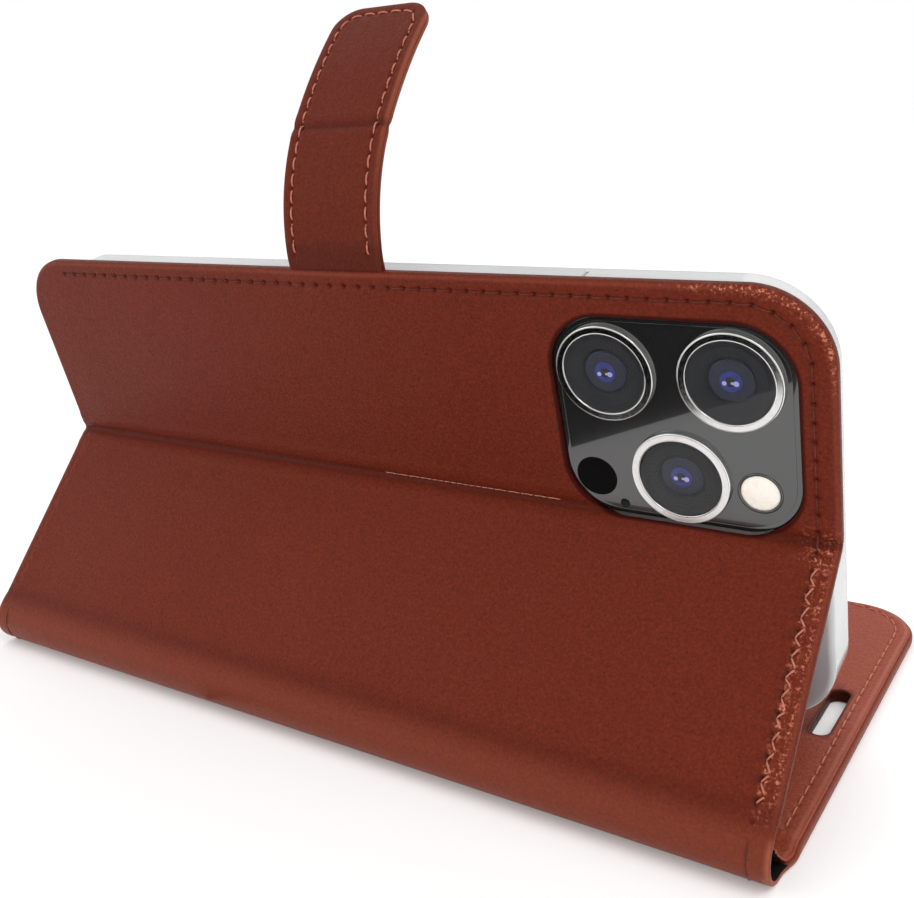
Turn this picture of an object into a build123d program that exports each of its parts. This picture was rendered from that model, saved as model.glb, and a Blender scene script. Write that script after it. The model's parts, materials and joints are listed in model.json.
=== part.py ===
from build123d import *
import os
from math import asin, atan2, cos, degrees, hypot, radians, sin, sqrt, tan

# Book-type phone wallet case, folded into its landscape stand, with a handset in the tray.
# +X runs along the case to the camera end, +Z is up, and the front cover lies on z = 0
# with its inner face up. The back cover stands on it, and its outer face looks to -Y.

# Case, mm
BACK_LENGTH = 166.0          # back cover along X
COVER_LENGTH = 168.0         # front cover along X
UPPER_WIDTH = 39.6           # back cover from the stand crease to its top edge
LOWER_BOARD_END = 39.2       # stiff part of the back cover below the stand crease
COVER_REACH = 88.5           # from the middle of the spine curl to the far edge of the cover
CORNER_RADIUS = 12.0
LEAN = 13.6                  # tray's lean from upright, degrees
CURL_RADIUS = 5.0            # outer radius of the soft spine where it turns under
REST_GAP = 0.3               # tray's edge above the cover's lining

# Layers, mm
SKIN = 0.8
BOARD = 1.0
LINING = 0.6
WALL = SKIN + BOARD + LINING
LOWER_BOARD = 0.8            # lower panel is thinner, so that it folds flat under the tray
LOWER_LINING = 0.45
TURNED_EDGE = 1.2            # skin turned round the edge of the board
HINGE_GAP = 0.15             # skins stop this far from each fold line
SPINE_INSET = 1.0            # spine lining in from the ends of the spine
COVER_BOARD_START = 8.0      # front cover's board, from the middle of the spine curl
COVER_SPINE_RADIUS = 3.0     # front cover's corners at the spine
BOARD_GAP = 0.9              # boards stop this far from each fold line

# Camera opening, from the centre of the case and from the top edge
CAMERA_LEFT, CAMERA_RIGHT = 39.9, 77.7
CAMERA_TOP, CAMERA_BOTTOM = 5.7, 40.1
CAMERA_RADIUS = 9.0

# Earpiece slot in the front cover, y from the stand crease
SLOT_X, SLOT_WIDTH = 78.1, 3.0
SLOT_START, SLOT_END = 10.2, 26.3

# Handset
PHONE_LENGTH, PHONE_WIDTH, PHONE_THICKNESS = 158.4, 73.0, 7.1
PHONE_RADIUS = 11.4
PHONE_ROUND = 0.8
GLASS = 0.7
GLASS_INSET = 1.8
PLATEAU_HEIGHT = 2.8
PLATEAU_GAP = 0.3
PLATEAU_ROUND = 0.35
CAMERA_SEAT = 0.5            # rings and windows are let into the plateau this far
RING_RADIUS, RING_HEIGHT, RING_WALL = 7.9, 0.8, 1.3
RING_CHAMFER = 0.25
RING_FLOOR = 0.4             # ledge under each lens glass
LENS_RECESS = 0.35           # lens glass under its ring's front
LENSES = ((48.6, 15.0), (68.1, 14.8), (59.2, 31.9))
FLASH = (71.35, 32.9, 3.4)
SCANNER = (44.7, 33.8, 3.5)
MICROPHONE = (49.1, 38.2, 0.7)
KEY_LET_IN = 1.0             # keys let into the frame, and shorter than their pads at each end
KEY_SLIMMER = 0.6

# Tray
TRAY_GAP = 0.25
TRAY_SIDE = 1.4
TRAY_BACK = 0.9
TRAY_DEPTH = 8.4
TRAY_DROP = 2.4              # tray's top side below the leather's top edge
TRAY_BACK_ROUND, TRAY_RIM_ROUND = 1.1, 0.5
BACK_CLEARANCE = 0.1
PORT_LENGTH, PORT_HEIGHT = 14.0, 5.6
SPEAKER_LENGTH, SPEAKER_HEIGHT, SPEAKER_OFFSET = 13.0, 3.0, 19.0
SOCKET_LENGTH, SOCKET_HEIGHT, SOCKET_DEPTH = 9.0, 3.2, 6.5
PAD_HEIGHT, PAD_GAP, PAD_PROUD = 3.6, 0.2, 0.45
PAD_ROUND = 0.6
POWER_PAD = (35.0, 17.0)     # centre along X, length
VOLUME_PADS = ((27.0, 10.5), (41.0, 10.5))

# Pockets on the inner face of the front cover
POCKET_THICKNESS = 0.45
POCKET_CENTRE, POCKET_LENGTH = -6.0, 96.0
POCKET_OPENINGS = (16.5, 28.0, 39.5)     # y from the stand crease
POCKET_MARGIN = 2.2
POCKET_RADII = (1.5, 3.0)

# Strap
STRAP_CENTRE, STRAP_WIDTH = 0.8, 19.6
STRAP_LAYER = 0.8
STRAP_START = 2.2            # bending line above the top edge
ROOT_GAP = 0.9               # strap starts this far beyond its bending line
FOLD_GAP = 0.6               # each half stops this far from the cross fold
TAB_GAP = 0.15
STRAP_TAB, TAB_DEPTH = 14.0, 0.35        # sewn end between the layers, and its cover of skin
ROOT_OFFSET = 0.3
ROOT_HEADING, ROOT_TURN, ROOT_LENGTH = 10.0, 34.0, 20.4
TIP_TURN, TIP_LENGTH, TIP_RADIUS = 18.0, 24.4, 5.0
MAGNET_LENGTH, MAGNET_WIDTH, MAGNET_THICKNESS = 12.0, 14.0, 0.8
MAGNET_RADIUS = 2.0
CLOSURE_LENGTH, CLOSURE_WIDTH, CLOSURE_INSET = 18.0, 14.0, 15.0      # plate in the far edge

# Outline of the stand in the YZ plane, from the stand crease at y = 0
TRAY_WIDTH = PHONE_WIDTH + 2 * (TRAY_GAP + TRAY_SIDE)
TRAY_LENGTH = PHONE_LENGTH + 2 * (TRAY_GAP + TRAY_SIDE)
BELOW_CREASE = TRAY_WIDTH + TRAY_DROP - UPPER_WIDTH
CREASE_Z = BELOW_CREASE * cos(radians(LEAN)) + WALL + REST_GAP - WALL * sin(radians(LEAN))
CURL_Y = -24.5
SLOPE_HYPOT = hypot(CURL_Y, CURL_RADIUS - CREASE_Z)
SLOPE = degrees(atan2(CREASE_Z - CURL_RADIUS, -CURL_Y) - asin(CURL_RADIUS / SLOPE_HYPOT))
STRAIGHT = sqrt(SLOPE_HYPOT ** 2 - CURL_RADIUS ** 2)
FOLD = (180.0 - SLOPE) / 2   # each of the spine's two folds
CORNER_RUN = CURL_RADIUS * tan(radians(FOLD / 2))
LOWER_WIDTH = STRAIGHT + CORNER_RUN
SPINE_WIDTH = 2 * CORNER_RUN
COVER_START = CURL_Y - CORNER_RUN
COVER_END = CURL_Y + COVER_REACH
CENTRE_Y = (COVER_END - LOWER_WIDTH * cos(radians(SLOPE))) / 2

UPPER = Plane(
    origin=(0, 0, CREASE_Z), x_dir=(1, 0, 0), z_dir=(0, -cos(radians(LEAN)), -sin(radians(LEAN)))
)
LOWER = Plane(
    origin=(0, 0, CREASE_Z), x_dir=(1, 0, 0), z_dir=(0, -sin(radians(SLOPE)), cos(radians(SLOPE)))
)
EDGE_TURN = radians(SLOPE + FOLD)
SPINE = Plane(
    origin=(0, COVER_START, 0), x_dir=(1, 0, 0), z_dir=(0, -sin(EDGE_TURN), cos(EDGE_TURN))
)


def save(shape, name):
    """Write one sub-part, with the origin at the bottom centre of the whole case."""
    export_step(Pos(0, -CENTRE_Y, 0) * shape, f"parts/{name}.step")


def block(x0, x1, y0, y1, z0, z1):
    """A box between two corners."""
    return Pos((x0 + x1) / 2, (y0 + y1) / 2, (z0 + z1) / 2) * Box(x1 - x0, y1 - y0, z1 - z0)


def plate(x0, x1, y0, y1, z0, z1, radii):
    """A box whose upright edges are rounded: radii for the low-y pair and the high-y pair."""
    solid = block(x0, x1, y0, y1, z0, z1)
    middle = (y0 + y1) / 2
    upright = solid.edges().filter_by(Axis.Z)
    for radius, low in ((radii[0], True), (radii[1], False)):
        pair = [edge for edge in upright if (edge.center().Y < middle) == low]
        if radius > 0:
            solid = fillet([edge for edge in solid.edges().filter_by(Axis.Z)
                            if any((edge.center() - old.center()).length < 0.01 for old in pair)],
                           radius)
    return solid


def camera_cutter(grow):
    """The camera opening as a tall prism in the upper panel's frame, grown all round."""
    return plate(
        CAMERA_LEFT - grow, CAMERA_RIGHT + grow,
        UPPER_WIDTH - CAMERA_BOTTOM - grow, UPPER_WIDTH - CAMERA_TOP + grow,
        -20, 5, (CAMERA_RADIUS + grow, CAMERA_RADIUS + grow),
    )


def upper_panel():
    """Skin with its turned edge, board and lining of the upper half of the back cover."""
    half = BACK_LENGTH / 2
    rim = TURNED_EDGE
    top = UPPER_WIDTH
    recess = plate(-half + rim, half - rim, BOARD_GAP, top - rim, -SKIN - BOARD, -SKIN,
                   (0, CORNER_RADIUS - rim))
    hollow = recess - camera_cutter(rim)
    skin = plate(-half, half, HINGE_GAP, top, -SKIN - BOARD, 0, (0, CORNER_RADIUS))
    skin = skin - hollow - camera_cutter(0)
    lining = plate(-half, half, 2 * HINGE_GAP, top, -WALL, -SKIN - BOARD, (0, CORNER_RADIUS))
    lining = lining - camera_cutter(0)
    tab = strap_tab()
    save(UPPER * (skin - tab), "back_upper_skin")
    save(UPPER * (hollow - tab), "back_upper_board")
    save(UPPER * lining, "back_upper_lining")
    save(UPPER * tab, "strap_tab")


def strap_tab():
    """The strap's sewn end: it lies in the back cover and rises to the bending line."""
    half = STRAP_WIDTH / 2
    return block(STRAP_CENTRE - half, STRAP_CENTRE + half, UPPER_WIDTH - STRAP_TAB,
                 UPPER_WIDTH + STRAP_START - TAB_GAP, -SKIN - BOARD, -TAB_DEPTH)


def lower_panel():
    """Skin, board and lining of the lower half of the back cover."""
    half = BACK_LENGTH / 2
    rim = TURNED_EDGE
    notch = camera_cutter(0)
    board = block(-half + rim, half - rim, -LOWER_BOARD_END, -BOARD_GAP, -SKIN - LOWER_BOARD, -SKIN)
    skin = block(-half, half, -LOWER_BOARD_END - rim, -HINGE_GAP, -SKIN - LOWER_BOARD, 0) - board
    mitre = SKIN * tan(radians(FOLD / 2)) + HINGE_GAP
    hem = block(-half, half, -LOWER_WIDTH + mitre, -LOWER_BOARD_END, -SKIN, 0)
    lining = block(-half, half, -LOWER_BOARD_END - rim, -2 * HINGE_GAP,
                   -SKIN - LOWER_BOARD - LOWER_LINING, -SKIN - LOWER_BOARD)
    save(LOWER * (skin + hem - notch), "back_lower_skin")
    save(LOWER * board, "back_lower_board")
    save(LOWER * (lining - notch), "back_lower_lining")


def spine():
    """The soft strip between the two covers: its skin, and the lining drawn in behind it."""
    half = BACK_LENGTH / 2
    mitre = SKIN * tan(radians(FOLD / 2)) + HINGE_GAP
    skin = block(-half, half, mitre, SPINE_WIDTH - mitre, -SKIN, 0)
    inner = (SKIN + LINING + HINGE_GAP) * tan(radians(FOLD / 2)) + HINGE_GAP
    lining = block(-half + SPINE_INSET, half - SPINE_INSET, inner, SPINE_WIDTH - inner,
                   -SKIN - HINGE_GAP - LINING, -SKIN - HINGE_GAP)
    save(SPINE * skin, "spine_skin")
    save(SPINE * lining, "spine_lining")


def earpiece_cutter(grow):
    """The earpiece slot as a prism."""
    half = SLOT_WIDTH / 2 + grow
    return plate(SLOT_X - half, SLOT_X + half, SLOT_START - grow, SLOT_END + grow, -1, 5,
                 (half - 0.01, half - 0.01))


def closure_plate():
    """Steel plate that the strap's magnet holds to, in a window of the cover's board."""
    middle = COVER_END - CLOSURE_INSET
    half_x, half_y = CLOSURE_LENGTH / 2, CLOSURE_WIDTH / 2
    return plate(STRAP_CENTRE - half_x, STRAP_CENTRE + half_x, middle - half_y, middle + half_y,
                 SKIN, SKIN + MAGNET_THICKNESS, (MAGNET_RADIUS, MAGNET_RADIUS))


def front_cover():
    """Skin with its turned edge, board, lining and closure plate of the front cover."""
    half = COVER_LENGTH / 2
    rim = TURNED_EDGE
    corners = (COVER_SPINE_RADIUS, CORNER_RADIUS)
    board_start = CURL_Y + COVER_BOARD_START
    recess = plate(-half + rim, half - rim, board_start, COVER_END - rim, SKIN, SKIN + BOARD,
                   (COVER_SPINE_RADIUS - rim, CORNER_RADIUS - rim)) - earpiece_cutter(rim)
    start = COVER_START + SKIN * tan(radians(FOLD / 2)) + HINGE_GAP
    skin = plate(-half, half, start, COVER_END, 0, SKIN, corners)
    edge = plate(-half, half, board_start - rim, COVER_END, SKIN, SKIN + BOARD, corners)
    skin = skin + edge - recess - earpiece_cutter(0)
    lining = plate(-half, half, board_start - rim, COVER_END, SKIN + BOARD, WALL, corners)
    magnet = closure_plate()
    save(skin, "front_cover_skin")
    save(recess - magnet, "front_cover_board")
    save(magnet, "closure_plate")
    save(lining - earpiece_cutter(0), "front_cover_lining")


def card_pockets():
    """Three stepped card pockets: flat leaves that open towards the spine."""
    left = POCKET_CENTRE - POCKET_LENGTH / 2
    for index, opening in enumerate(POCKET_OPENINGS):
        low = WALL + index * POCKET_THICKNESS
        leaf = plate(left, left + POCKET_LENGTH, opening, COVER_END - POCKET_MARGIN,
                     low, low + POCKET_THICKNESS, POCKET_RADII)
        save(leaf, f"card_pocket_{index + 1}")


TRAY_TOP = UPPER_WIDTH - TRAY_DROP
TRAY_MIDDLE = TRAY_TOP - TRAY_WIDTH / 2
KEY_DEPTH = WALL + TRAY_BACK + BACK_CLEARANCE + PHONE_THICKNESS / 2


def pad_box(centre, length, side, grow, proud, inner):
    """A key pad in one long side of the tray: side is +1 for the top and -1 for the bottom."""
    wall_out = TRAY_MIDDLE + side * (TRAY_WIDTH / 2 + proud)
    wall_in = TRAY_MIDDLE + side * (TRAY_WIDTH / 2 - inner)
    return block(centre - length / 2 - grow, centre + length / 2 + grow,
                 min(wall_out, wall_in), max(wall_out, wall_in),
                 -KEY_DEPTH - PAD_HEIGHT / 2 - grow, -KEY_DEPTH + PAD_HEIGHT / 2 + grow)


def pads():
    """Name, centre, length and side of each key pad."""
    rows = [("power_pad", *POWER_PAD, 1)]
    rows += [(f"volume_pad_{n + 1}", *pad, -1) for n, pad in enumerate(VOLUME_PADS)]
    return rows


def key_pads():
    """Moulded pads that press the handset's keys."""
    for name, centre, length, side in pads():
        pad = pad_box(centre, length, side, 0, PAD_PROUD, TRAY_SIDE)
        outer = pad.edges().filter_by(Axis.Z).sort_by(Axis.Y)
        outer = outer[-2:] if side > 0 else outer[:2]
        save(UPPER * fillet(outer, PAD_ROUND), name)


def end_cutter(offset, length, height, outer, inner):
    """A prism through the handset's lower end, at mid-thickness, between two distances in X."""
    middle = TRAY_MIDDLE + offset
    solid = block(-outer, -inner, middle - length / 2, middle + length / 2,
                  -KEY_DEPTH - height / 2, -KEY_DEPTH + height / 2)
    return fillet(solid.edges().filter_by(Axis.X), height / 2 - 0.05)


def tray():
    """Clear moulded tray with its camera opening, port opening and key holes."""
    half_x, half_y = TRAY_LENGTH / 2, TRAY_WIDTH / 2
    corner = PHONE_RADIUS + TRAY_GAP + TRAY_SIDE
    shell = plate(-half_x, half_x, TRAY_MIDDLE - half_y, TRAY_MIDDLE + half_y,
                  -WALL - TRAY_DEPTH, -WALL, (corner, corner))
    shell = fillet(shell.faces().sort_by(Axis.Z)[-1].edges(), TRAY_BACK_ROUND)
    shell = fillet(shell.faces().sort_by(Axis.Z)[0].edges(), TRAY_RIM_ROUND)
    inner_x, inner_y = half_x - TRAY_SIDE, half_y - TRAY_SIDE
    hollow = plate(-inner_x, inner_x, TRAY_MIDDLE - inner_y, TRAY_MIDDLE + inner_y,
                   -WALL - TRAY_DEPTH - 1, -WALL - TRAY_BACK, (corner - TRAY_SIDE, corner - TRAY_SIDE))
    shell = shell - hollow - camera_cutter(0)
    for offset, length, height in ((0, PORT_LENGTH, PORT_HEIGHT),
                                   (-SPEAKER_OFFSET, SPEAKER_LENGTH, SPEAKER_HEIGHT),
                                   (SPEAKER_OFFSET, SPEAKER_LENGTH, SPEAKER_HEIGHT)):
        shell = shell - end_cutter(offset, length, height, half_x + 1, inner_x - 0.5)
    for name, centre, length, side in pads():
        shell = shell - pad_box(centre, length, side, PAD_GAP, 1.0, TRAY_SIDE + 0.1)
    save(UPPER * shell, "tray")


def phone_plate(inset, depth0, depth1):
    """A plate of the handset's outline, between two depths under the leather."""
    half_x, half_y = PHONE_LENGTH / 2 - inset, PHONE_WIDTH / 2 - inset
    radius = PHONE_RADIUS - inset
    return plate(-half_x, half_x, TRAY_MIDDLE - half_y, TRAY_MIDDLE + half_y,
                 -depth1, -depth0, (radius, radius))


PHONE_BACK = WALL + TRAY_BACK + BACK_CLEARANCE
PHONE_FRONT = PHONE_BACK + PHONE_THICKNESS


def handset():
    """Frame, back glass, screen and keys of the handset."""
    body = phone_plate(0, PHONE_BACK, PHONE_FRONT)
    body = fillet(body.faces().sort_by(Axis.Z)[-1].edges(), PHONE_ROUND)
    body = fillet(body.faces().sort_by(Axis.Z)[0].edges(), PHONE_ROUND)
    back = phone_plate(GLASS_INSET, PHONE_BACK, PHONE_BACK + GLASS)
    screen = phone_plate(GLASS_INSET, PHONE_FRONT - GLASS, PHONE_FRONT)
    keys = [(name, phone_key(centre, length, side)) for name, centre, length, side in pads()]
    socket = end_cutter(0, SOCKET_LENGTH, SOCKET_HEIGHT, PHONE_LENGTH / 2 + 1,
                        PHONE_LENGTH / 2 - SOCKET_DEPTH)
    frame = body - back - screen - socket
    for name, key in keys:
        frame = frame - key
    save(UPPER * frame, "phone_frame")
    save(UPPER * back, "phone_back_glass")
    save(UPPER * screen, "phone_screen")
    save(UPPER * keys[0][1], "phone_power_key")
    save(UPPER * Compound([key for name, key in keys[1:]]), "phone_volume_keys")


def phone_key(centre, length, side):
    """A key let into the long side of the handset's frame."""
    face = TRAY_MIDDLE + side * PHONE_WIDTH / 2
    root = face - side * KEY_LET_IN
    half_length, half_height = length / 2 - KEY_LET_IN, PAD_HEIGHT / 2 - KEY_SLIMMER
    return block(centre - half_length, centre + half_length, min(face, root), max(face, root),
                 -KEY_DEPTH - half_height, -KEY_DEPTH + half_height)


def disc(x, v, radius, depth0, depth1):
    """A round plate of the camera, x from the centre and v down from the top edge."""
    return Pos(x, UPPER_WIDTH - v, -(depth0 + depth1) / 2) * Cylinder(radius, depth1 - depth0)


def camera():
    """Raised plateau with three ringed lenses, flash, scanner window and microphone."""
    face = PHONE_BACK - PLATEAU_HEIGHT
    radius = CAMERA_RADIUS - PLATEAU_GAP
    plateau = plate(CAMERA_LEFT + PLATEAU_GAP, CAMERA_RIGHT - PLATEAU_GAP,
                    UPPER_WIDTH - CAMERA_BOTTOM + PLATEAU_GAP, UPPER_WIDTH - CAMERA_TOP - PLATEAU_GAP,
                    -PHONE_BACK, -face, (radius, radius))
    plateau = fillet(plateau.faces().sort_by(Axis.Z)[-1].edges(), PLATEAU_ROUND)
    seat = CAMERA_SEAT
    for index, (x, v) in enumerate(LENSES):
        plateau = plateau - disc(x, v, RING_RADIUS, face - 1, face + seat)
        top = face - RING_HEIGHT
        ring = disc(x, v, RING_RADIUS, top, face + seat)
        ring = ring - disc(x, v, RING_RADIUS - RING_WALL, top - 1, face + seat - RING_FLOOR)
        ring = chamfer(ring.faces().sort_by(Axis.Z)[-1].edges(), RING_CHAMFER)
        glass = disc(x, v, RING_RADIUS - RING_WALL, top + LENS_RECESS, face + seat - RING_FLOOR)
        save(UPPER * ring, f"lens_ring_{index + 1}")
        save(UPPER * glass, f"lens_glass_{index + 1}")
    for name, (x, v, r) in (("flash_lens", FLASH), ("scanner_window", SCANNER),
                            ("microphone_mesh", MICROPHONE)):
        window = disc(x, v, r, face, face + seat)
        plateau = plateau - disc(x, v, r, face - 1, face + seat)
        save(UPPER * window, name)
    save(UPPER * plateau, "camera_plateau")


def strap_path(start, heading, turn, length, offset):
    """Outline points of one strap layer: an arc in the (up, screen) plane, offset sideways."""
    radius = length / radians(turn)
    centre = (start[0] - radius * sin(radians(heading)), start[1] + radius * cos(radians(heading)))
    points = []
    for fraction in (0, 0.5, 1):
        angle = radians(heading + turn * fraction)
        reach = radius - offset
        points.append((centre[0] + reach * sin(angle), centre[1] - reach * cos(angle)))
    return points


def strap_layer(start, heading, turn, length, offset0, offset1):
    """One curved layer between two offsets from the strap's outer face."""
    outer = strap_path(start, heading, turn, length, offset0)
    inner = strap_path(start, heading, turn, length, offset1)
    frame = Plane(origin=(STRAP_CENTRE - STRAP_WIDTH / 2, UPPER_WIDTH, 0),
                  x_dir=(0, 1, 0), z_dir=(1, 0, 0))
    flip = [[(u, -n) for u, n in side] for side in (outer, inner)]
    edges = [ThreePointArc(*flip[0]), Line(flip[0][2], flip[1][2]),
             ThreePointArc(*flip[1][::-1]), Line(flip[1][0], flip[0][0])]
    face = make_face(edges)
    return extrude(frame * face, amount=STRAP_WIDTH, dir=(1, 0, 0))


def strap():
    """Closure strap: a curved root, a cross fold, and a curved tip with the magnet in it."""
    start = (STRAP_START + ROOT_GAP, ROOT_OFFSET)
    layers = (0, STRAP_LAYER, 2 * STRAP_LAYER)
    root_end = strap_path(start, ROOT_HEADING, ROOT_TURN, ROOT_LENGTH, 0)[2]
    bend = radians(ROOT_HEADING + ROOT_TURN)
    tip_start = (root_end[0] + 2 * FOLD_GAP * cos(bend), root_end[1] + 2 * FOLD_GAP * sin(bend))
    tip_heading = ROOT_HEADING + ROOT_TURN
    magnet = magnet_solid(tip_start, tip_heading)
    ends = tip_cutter(tip_start, tip_heading)
    for name, low, high in (("outer", *layers[:2]), ("inner", *layers[1:])):
        root = strap_layer(start, ROOT_HEADING, ROOT_TURN, ROOT_LENGTH, low, high)
        tip = strap_layer(tip_start, tip_heading, TIP_TURN, TIP_LENGTH, low, high)
        save(UPPER * root, f"strap_root_{name}")
        save(UPPER * (tip - magnet - ends), f"strap_tip_{name}")
    save(UPPER * magnet, "strap_magnet")


def tip_plane(tip_start, heading):
    """Frame on the strap's outer face at the tip's end: y back along the strap, z outwards."""
    end = strap_path(tip_start, heading, TIP_TURN, TIP_LENGTH, 0)[2]
    angle = radians(heading + TIP_TURN)
    return Plane(origin=(STRAP_CENTRE, UPPER_WIDTH + end[0], -end[1]), x_dir=(1, 0, 0),
                 z_dir=(0, sin(angle), cos(angle)))


def tip_cutter(tip_start, heading):
    """What rounding the strap's two end corners takes away."""
    half = STRAP_WIDTH / 2
    frame = tip_plane(tip_start, heading)
    full = block(-half - 1, half + 1, -TIP_RADIUS, 1, -6, 2)
    keep = plate(-half, half, -TIP_RADIUS * 3, 0, -7, 3, (0, TIP_RADIUS))
    return frame * (full - keep)


def magnet_solid(tip_start, heading):
    """Flat magnet between the two layers, in the middle of the tip."""
    half_x = MAGNET_WIDTH / 2
    frame = tip_plane(tip_start, heading)
    centre = TIP_LENGTH / 2
    sag = centre ** 2 / (2 * TIP_LENGTH / radians(TIP_TURN))
    solid = plate(-half_x, half_x, -MAGNET_LENGTH / 2, MAGNET_LENGTH / 2,
                  -MAGNET_THICKNESS / 2, MAGNET_THICKNESS / 2, (MAGNET_RADIUS, MAGNET_RADIUS))
    tilt = degrees(centre / (TIP_LENGTH / radians(TIP_TURN)))
    return frame * Pos(0, -centre, -STRAP_LAYER - sag) * Rot(tilt, 0, 0) * solid


os.makedirs("parts", exist_ok=True)
front_cover()
card_pockets()
spine()
lower_panel()
upper_panel()
tray()
key_pads()
handset()
camera()
strap()
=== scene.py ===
import json
import math

import bpy
import numpy as np
from mathutils import Matrix, Vector, geometry, kdtree, noise


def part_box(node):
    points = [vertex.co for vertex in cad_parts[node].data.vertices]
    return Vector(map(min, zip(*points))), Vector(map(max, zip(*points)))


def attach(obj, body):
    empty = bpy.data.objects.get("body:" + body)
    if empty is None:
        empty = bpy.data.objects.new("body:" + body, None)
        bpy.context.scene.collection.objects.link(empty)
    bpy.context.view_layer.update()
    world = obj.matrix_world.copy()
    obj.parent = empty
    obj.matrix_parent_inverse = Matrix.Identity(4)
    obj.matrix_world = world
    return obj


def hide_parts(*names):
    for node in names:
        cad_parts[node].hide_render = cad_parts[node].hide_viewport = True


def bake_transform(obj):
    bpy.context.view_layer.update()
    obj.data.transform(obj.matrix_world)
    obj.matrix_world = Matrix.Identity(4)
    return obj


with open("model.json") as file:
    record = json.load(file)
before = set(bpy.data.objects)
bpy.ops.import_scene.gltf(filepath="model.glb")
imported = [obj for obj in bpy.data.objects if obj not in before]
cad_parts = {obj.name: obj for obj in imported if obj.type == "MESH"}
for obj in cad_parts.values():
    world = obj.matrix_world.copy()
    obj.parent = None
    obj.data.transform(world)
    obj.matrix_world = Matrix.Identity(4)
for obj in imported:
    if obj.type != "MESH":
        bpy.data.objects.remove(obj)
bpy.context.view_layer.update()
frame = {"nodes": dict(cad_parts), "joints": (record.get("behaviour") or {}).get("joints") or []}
MM = 0.001

# ---------------------------------------------------------------- frame of the folded case, mm


def joint_point(name):
    joint = next(j for j in frame["joints"] if j["name"] == name)
    return Vector(joint["pos_m"]) / MM


CREASE = joint_point("stand_crease")
SPINE_TOP = joint_point("spine_hinge")
FLOOR_FOLD = joint_point("cover_hinge")
SLIDE = next(j for j in frame["joints"] if j["name"] == "phone_slide")["axis"]
LEAN = math.atan2(SLIDE[2], SLIDE[1])
UP = np.array((-math.sin(LEAN), math.cos(LEAN)))          # (y, z) up the upper panel
UP_OUT = np.array((-math.cos(LEAN), -math.sin(LEAN)))     # outward from the upper panel
RUN = (SPINE_TOP - FLOOR_FOLD).length / 2
FOLD = math.radians(next(j for j in frame["joints"] if j["name"] == "cover_hinge")["range_deg"][1])
CURL = RUN / math.tan(FOLD / 2)
STRAIGHT = (SPINE_TOP - CREASE).length - RUN
SLOPE = math.atan2(CREASE.z - SPINE_TOP.z, CREASE.y - SPINE_TOP.y)
DOWN = np.array((-math.cos(SLOPE), -math.sin(SLOPE)))
DOWN_OUT = np.array((-math.sin(SLOPE), math.cos(SLOPE)))
CURL_Y = FLOOR_FOLD.y + RUN
ARC = CURL * 2 * FOLD
CURL_START = STRAIGHT
CURL_MIDDLE = STRAIGHT + ARC / 2
CURL_END = STRAIGHT + ARC


def points_of(node):
    return np.array([v.co for v in frame["nodes"][node].data.vertices]) / MM


def upper_extent(node):
    """Lowest and highest (x, up the panel, depth behind its outer face) of a CAD node."""
    p = points_of(node)
    yz = p[:, 1:] - np.array((CREASE.y, CREASE.z))
    local = np.stack((p[:, 0], yz @ UP, -(yz @ UP_OUT)), 1)
    return local.min(0), local.max(0)


BACK_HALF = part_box("back_upper_skin")[1].x / MM
COVER_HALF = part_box("front_cover_skin")[1].x / MM
TOP = upper_extent("back_upper_skin")[1][1]
COVER_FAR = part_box("front_cover_skin")[1].y / MM
FAR = CURL_END + COVER_FAR - CURL_Y         # far edge of the cover, along the skin from the crease
CORNER = 12.0
STRAP_LOW, STRAP_HIGH = upper_extent("strap_root_outer")
STRAP_X = (STRAP_LOW[0] + STRAP_HIGH[0]) / 2
STRAP_HALF = (STRAP_HIGH[0] - STRAP_LOW[0]) / 2

# Layers, mm
SKIN, UPPER_STACK, LOWER_STACK, COVER_STACK = 0.8, 1.8, 1.6, 1.8
BOARD_END = 39.2
COVER_BOARD = CURL_END + 6.8
CREASE_ROUND = 1.5

# Camera opening: the plateau and the gap round it
PLATEAU_LOW, PLATEAU_HIGH = upper_extent("camera_plateau")
PLATEAU_GAP = 0.3
OPENING = (PLATEAU_LOW[0] - PLATEAU_GAP, PLATEAU_HIGH[0] + PLATEAU_GAP,
           PLATEAU_LOW[1] - PLATEAU_GAP, PLATEAU_HIGH[1] + PLATEAU_GAP)
OPENING_RADIUS = 9.0

# Earpiece slot in the front cover: centre x, width, start and end along y from the crease
SLOT_X, SLOT_WIDTH, SLOT_START, SLOT_END = 78.0, 3.4, 10.2, 26.3


def ease(low, high, x):
    t = np.clip((np.asarray(x, float) - low) / (high - low), 0, 1)
    return t * t * (3 - 2 * t)


def peak(x, centre, width):
    """A smooth bump of height 1."""
    return np.exp(-((x - centre) / width) ** 2)


def section(v):
    """(y, z) and outward (y, z) of the outer skin at distance v from the crease: positive up
    the upper panel, negative down the lower panel, round the spine and along the cover."""
    v = np.asarray(v, float)
    w = CREASE_ROUND
    origin = np.array((CREASE.y, CREASE.z))
    soft = np.where(np.abs(v) < w, (w - np.abs(v)) ** 2 / (4 * w), 0.0)
    place = origin + np.maximum(v, 0)[:, None] * UP + np.maximum(-v, 0)[:, None] * DOWN
    place = place + soft[:, None] * (UP + DOWN)
    share = np.clip((v + w) / (2 * w), 0, 1)[:, None]
    out = UP_OUT * share + DOWN_OUT * (1 - share)
    out = out / np.linalg.norm(out, axis=1)[:, None]
    down = -v - CURL_START
    angle = math.pi / 2 + SLOPE + np.clip(down, 0, ARC) / CURL
    around = np.stack((np.cos(angle), np.sin(angle)), 1)
    curl = np.array((CURL_Y, CURL)) + CURL * around
    curl[:, 0] += np.maximum(down - ARC, 0)
    bent = (down > 0)[:, None]
    return np.where(bent, curl, place), np.where(bent, around, out)


def half_width(v):
    return BACK_HALF + (COVER_HALF - BACK_HALF) * ease(CURL_END, CURL_END + 6, -np.asarray(v))


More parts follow.
